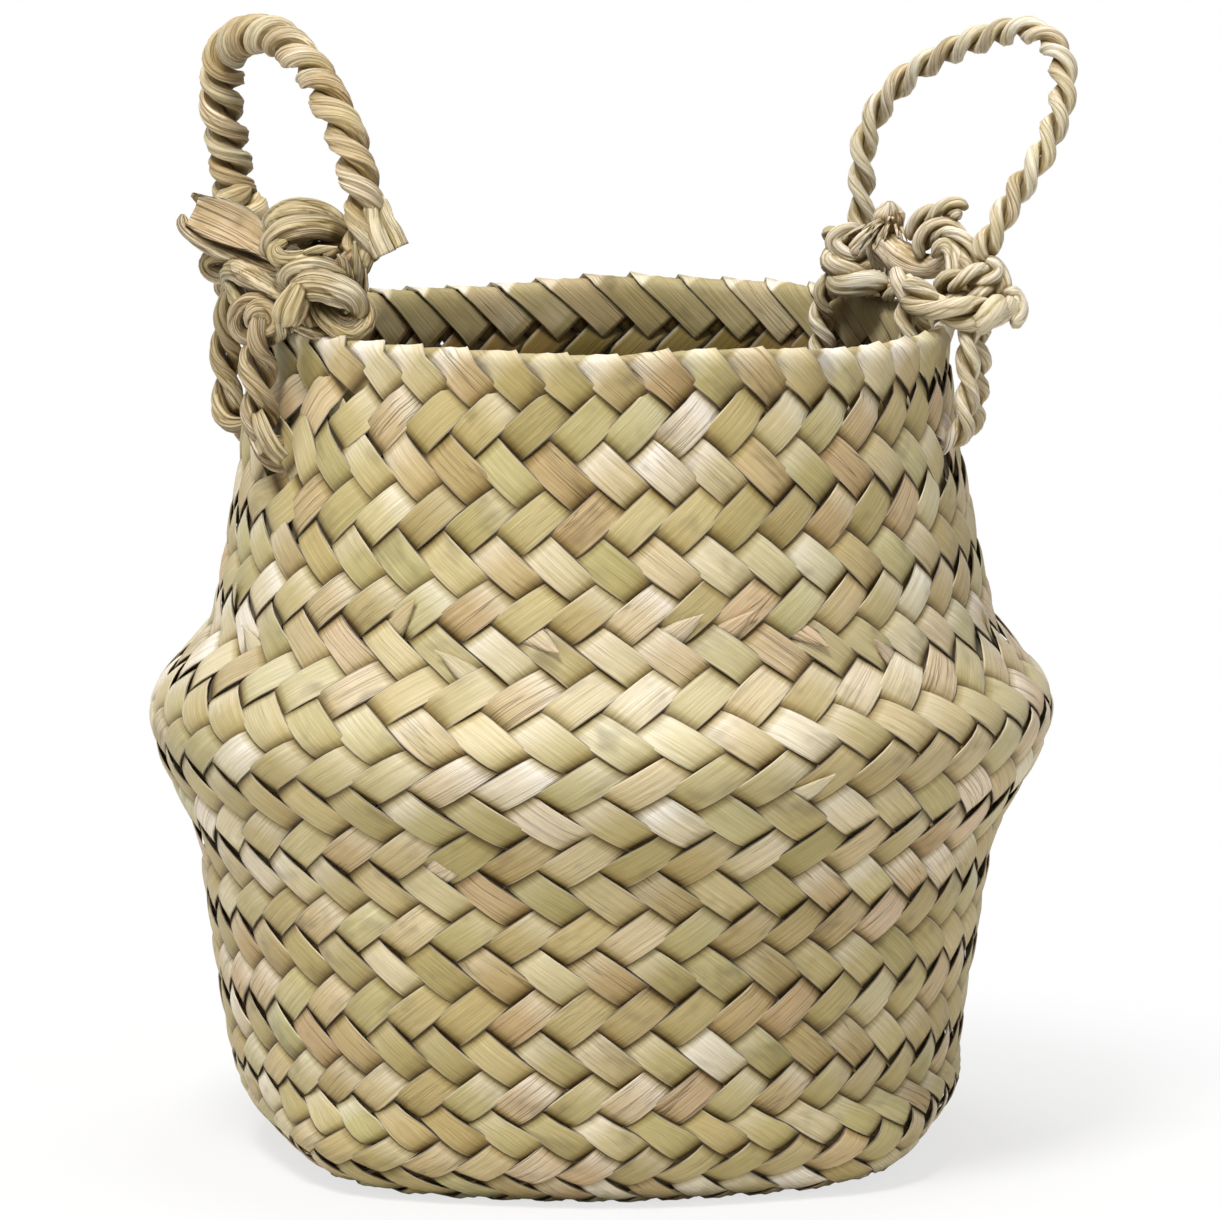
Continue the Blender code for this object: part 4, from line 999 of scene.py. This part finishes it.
# Right handle loop: a thinner and paler rope than the left one, of two smooth bundles twisted together.
# Its legs end in the knots on the rim at the basket's right, where the loop can swing.
right_rope_leaf = leaf_material("right_rope_twisted_leaf", {
    "Straw": (241, 227, 197), "Green": (233, 219, 182), "Dry": (238, 215, 182),
    "Pale": (253, 248, 234), "Stain_and_shade": (98, 63, 20)}, bump=0.34 * MM, furrows=0.5, depth=0.8)
right_loop_route = loop_points((65, 49), (94, -12), axis_height=223.5, rise=49.0, lean=25.0, shares=(
    (0, 0, 0), (0, 0.18, 0), (0, 0.37, 0.02), (0.03, 0.55, 0.14), (0.12, 0.72, 0.33), (0.27, 0.85, 0.55),
    (0.43, 0.94, 0.75), (0.60, 1, 0.92), (0.76, 0.955, 1), (0.88, 0.81, 0.98), (0.95, 0.63, 0.84),
    (0.985, 0.43, 0.60), (1, 0.22, 0.27), (1, 0, 0)))
right_loop_route = [(65.2, 48.4, 219.5)] + right_loop_route + [(93.4, -11.6, 219.0)]
make_piece("right_handle_rope", twisted_rope(right_loop_route, radius=3.55, pitch=(19, 18, 16, 16, 17),
    phase=0.0), right_rope_leaf, "right_handle", "right_rope", "right_loop")

# Right front knot: the thin rope wound round the loop's front leg and arched back over towards the frayed
# end. A thicker doubled end lies across its front on the rim and sticks out on the right as a round stub.


def right_piece(name, tubes, *replaced):
    """A piece of the right handle's knots and lashings, which are fixed to the neck."""
    make_piece(name, tubes, right_rope_leaf, "neck", "right_rope", *replaced)


right_piece("right_front_knot_coils", [
    *twisted_rope(coil_points((90.0, -11.5), radius_x=5.6, radius_y=5.2, low=207.0, high=217.0, turns=1.9,
        start=60, wobble=0.5), radius=3.1, pitch=16.0),
    single_bundle([(96.6, -15.5, 209.5), (97.0, -14.0, 213.5), (95.4, -13.0, 217.5), (93.2, -14.5, 219.8)],
        (2.2, 2.7, 2.6, 2.0), (2.0, 2.3, 2.3, 1.8), (0.3, -1, 0))], "right_front_knot")
right_piece("right_front_knot_stub", [
    *twisted_rope([(73.6, -20.6, 213.4), (76.6, -23.4, 211.2), (81.0, -25.2, 209.0), (86.5, -25.8, 207.8),
        (92.0, -24.2, 207.6), (96.2, -21.4, 208.0), (98.6, -18.2, 208.6)], radius=4.3, pitch=30.0, phase=2.2),
    single_bundle([(99.2, -24.0, 205.4), (100.8, -20.8, 206.2), (101.4, -17.8, 208.4), (100.0, -16.6, 211.2),
        (97.4, -17.8, 212.2)], (1.8, 2.5, 2.8, 2.5, 1.8), (1.5, 1.9, 2.0, 1.9, 1.5), (1, -0.5, 0)),
    single_bundle([(90.4, -21.6, 204.6), (91.8, -27.4, 205.4), (94.4, -28.4, 208.6), (97.0, -24.4, 211.8)],
        (1.9, 2.7, 2.8, 2.0), (1.1, 1.3, 1.3, 1.0), (0.2, -1, 0.2))], "right_stub")
right_piece("right_stub_collar", [
    leaf_blade([(70.8, -17.5, 218.0), (71.6, -20.6, 215.4), (73.6, -22.8, 212.4), (76.4, -24.0, 209.6)],
        (6.0, 9.4, 11.0, 9.0), (1.9, 1.8, 1.6, 1.5), (0.1, 1, 0.15), 0.3),
    leaf_blade([(74.0, -18.5, 216.4), (76.4, -21.6, 214.4), (79.8, -23.8, 212.0), (83.4, -25.0, 210.6)],
        (5.0, 7.6, 7.6, 5.0), (1.6, 1.5, 1.3), (-0.2, 0.8, -0.5), 0.25)], "right_stub")
right_piece("right_front_knot_arch", twisted_rope([(77.8, 8.0, 218.6), (79.2, 6.0, 222.4),
    (82.2, 3.5, 225.0), (85.8, 0.5, 225.2), (88.8, -3.0, 222.0), (90.2, -6.5, 217.6), (89.6, -9.5, 212.0)],
    radius=3.1, pitch=22.0, phase=0.5), "right_bridge")
right_piece("right_front_knot_inner_turn", [
    single_bundle([(81.0, 1.0, 218.6), (83.6, -0.5, 221.6), (86.0, -3.0, 220.0), (87.0, -6.0, 214.6),
        (88.2, -9.0, 208.6)], (1.6, 2.2, 2.6, 3.1, 2.4), (1.4, 1.8, 2.0, 2.2, 1.8), (-0.1, -1, 0.2),
        fold=1.3),
    single_bundle([(84.4, -1.0, 215.6), (83.6, -3.5, 212.2), (84.0, -7.0, 207.6)], (1.6, 2.0, 1.7),
        (1.4, 1.7, 1.4), (-0.2, -1, 0))])

# Right back knot: the same thin rope wound round the loop's back leg, behind the mouth. Its coils lie in fat,
# smooth turns on the rim, and a run of it goes on along the rim to the front knot.
right_piece("right_back_knot_coils", [
    *twisted_rope(coil_points((63.5, 50.0), radius_x=5.6, radius_y=5.4, low=207.0, high=219.0, turns=2.1,
        start=220, wobble=0.7), radius=3.1, pitch=17.0, phase=0.6),
    single_bundle([(64.5, 46.5, 221.0), (60.4, 44.5, 220.6), (58.0, 43.6, 218.0), (59.6, 42.2, 215.6),
        (63.5, 42.0, 214.0)], (1.6, 2.1, 2.3, 2.2, 1.7), (1.5, 1.8, 2.0, 1.9, 1.5), (-0.3, -1, 0)),
    single_bundle([(60.4, 44.0, 217.0), (57.0, 43.2, 214.2), (58.6, 41.4, 212.2), (62.8, 40.8, 210.6),
        (66.6, 42.5, 209.2)], (1.8, 2.4, 2.7, 2.5, 1.8), (1.6, 2.0, 2.2, 2.1, 1.6), (-0.3, -1, 0)),
    single_bundle([(56.6, 45.0, 209.0), (59.4, 41.2, 207.8), (63.8, 39.6, 208.2), (68.4, 39.6, 208.6),
        (71.6, 41.5, 207.6)], (2.1, 3.0, 3.4, 3.2, 2.0), (1.9, 2.5, 2.7, 2.6, 1.8), (-0.1, -1, 0.2)),
    single_bundle([(68.4, 43.0, 221.6), (65.6, 42.0, 218.6), (61.8, 41.6, 215.0)], (1.7, 2.3, 1.8),
        (1.5, 2.0, 1.6), (0, -1, 0.2))], "right_back_knot")
right_piece("right_rim_cross_rope", twisted_rope([(63.5, 50.5, 206.8), (68.5, 44.5, 206.4),
    (73.2, 36.5, 206.2), (77.5, 26, 206.2), (81.0, 14, 206.4), (84.0, 1, 207.4), (86.5, -6, 208.6)],
    radius=2.9, pitch=18.0, phase=0.2), "right_cross_rope")

# Frayed end: the arch's rope comes down to a square cut, and above the cut the thicker rope's end has opened
# into a pale, rounded stub with broken fibres hanging from it. A short tail stands out to the right.
right_piece("right_hooked_end", [
    single_bundle([(67.4, 16.4, 222.4), (69.8, 14.0, 220.0), (73.4, 11.5, 217.2), (77.2, 9.0, 215.6),
        (80.8, 6.8, 215.8), (83.4, 6.0, 218.0), (84.0, 6.4, 220.8)], (3.3, 3.8, 4.0, 3.8, 3.4, 2.9, 2.0),
        (2.8, 3.2, 3.3, 3.2, 3.0, 2.6, 2.0), (-0.1, -1, 0.3), fold=1.3)], "right_bridge")
cut_middle, fray_fibres, fray_shreds = np.array((69.8, 13.2, 224.8)), 40, 5
fray = [single_bundle([(69.8, 18, 221.0), (70.4, 16.6, 225.0), (70.8, 15.8, 228.6), (70.9, 15.4, 230.8)],
    (3.0, 3.6, 3.7, 3.0), (2.7, 3.2, 3.3, 2.7), (0, -1, 0.2), spacing=0.7)]
for fibre in range(fray_fibres):
    lean_x, lean_y, lean_z = rng.normal(0, 1, 3)
    root = cut_middle + np.array((lean_x * 1.9, lean_y * 0.5, lean_z * 1.3))
    drop = np.array((-1.6 + 1.6 * lean_x, -0.8 + 0.5 * lean_y, -3.4 + 1.3 * lean_z))
    fray.append(leaf_blade([root, root + drop * 0.5 + np.array((0, -0.8, 0.4)), root + drop],
        (0.9, 0.7, 0.25), 0.3, (0.1, -1, 0.2), 0.05))
for shred in range(fray_shreds):
    root = np.array((65.8 + 0.7 * shred, 16.5, 221.5 - 0.4 * shred))
    fray.append(leaf_blade([root, root + (0.2, -0.6, -3.2), root + (rng.uniform(-0.5, 1.2), 0.2, -6.5)],
        (1.4, 1.8, 0.8), 0.5, (0.1, 1, 0), 0.1))
right_piece("right_frayed_brush", fray, "right_frayed_end")
right_piece("right_rope_tail", twisted_rope([(76.0, 13.0, 222.6), (78.6, 10.4, 226.4),
    (82.0, 7.0, 229.0), (85.4, 4.2, 230.2), (88.6, 1.6, 230.0)], radius=2.9, pitch=20.0, phase=0.9),
    "right_tail")

# Right lashings: three runs of the thin rope down outside the neck, in through holes between the strips and
# up the inside. The back one shows inside the mouth.
thin_stand_off = 3.6
for name, turn, outer_top, inner_top, sway, radius, pitch, phase in (
        ("right_front_lashing", -15, [(87.5, -15.5, 211), (89.2, -20.0, 206.5)],
         [(74, -17.5, 206.5), (79, -14.5, 209.5)], 1.0, 3.1, 18.0, 0.6),
        ("right_side_lashing", -1, [(90.5, -7.5, 210), (91.8, -4.0, 206.5)],
         [(78, -3.0, 206.5), (84, -6.5, 210)], -1.0, 3.45, 15.0, 1.6),
        ("right_back_lashing", 44, [(63.5, 55.0, 212), (65.5, 61.0, 206.5)],
         [(56.5, 50.5, 205.5), (60.0, 47.5, 210)], 0.6, 3.45, 15.0, 0.0)):
    route = lashing_points(turn, thin_stand_off, outer_top, inner_top, sway)
    right_piece(name + "_rope", twisted_rope(route, radius, pitch, phase), name)

# Dark crevices: painted shade darkens and browns the leaf wherever the rope's turns press on one another.
# This deepens the painted shade that every piece of rope already carries, by how closed in each spot is.
crevice_reach, crevice_start, crevice_depth = 6.5 * MM, 0.25 * MM, 0.95
widest_look, least_closed, most_closed = 0.25, 0.08, 0.56
look_out = unit(np.array([(x, y, z) for x in (-1, 0, 1) for y in (-1, 0, 1) for z in (-1, 0, 1)
                          if (abs(x) + abs(y) + abs(z)) in (1, 3)], float))
corners, polygons = [], []
for piece in rope_pieces:
    start = len(corners)
    corners += [tuple(spot.co) for spot in piece.data.vertices]
    polygons += [[start + corner for corner in face.vertices] for face in piece.data.polygons]
crowd = BVHTree.FromPolygons(corners, polygons)
for piece in rope_pieces:
    count = len(piece.data.vertices)
    layer = piece.data.attributes["leaf_edge_shade_light"].data
    spots, faces_out, edge_shade_light = (np.empty(count * 3, np.float32) for _ in range(3))
    piece.data.vertices.foreach_get("co", spots)
    piece.data.vertices.foreach_get("normal", faces_out)
    layer.foreach_get("vector", edge_shade_light)
    spots, faces_out, edge_shade_light = spots.reshape(-1, 3), faces_out.reshape(-1, 3), edge_shade_light.reshape(-1, 3)
    leaning = faces_out @ look_out.T
    closed = np.zeros(count)
    for spot in range(count):
        start = Vector((spots[spot] + faces_out[spot] * crevice_start).tolist())
        met, open_sum = 0.0, 0.0
        for way in np.nonzero(leaning[spot] > widest_look)[0]:
            weight = leaning[spot, way]
            distance = crowd.ray_cast(start, look_out[way].tolist(), crevice_reach)[3]
            open_sum += weight
            if distance is not None:
                met += weight * (1 - 0.5 * distance / crevice_reach)
        closed[spot] = met / open_sum
    edge_shade_light[:, 1] = 1 - (1 - edge_shade_light[:, 1]) * (1 - crevice_depth * ease(least_closed, most_closed, closed))
    layer.foreach_set("vector", edge_shade_light.ravel())
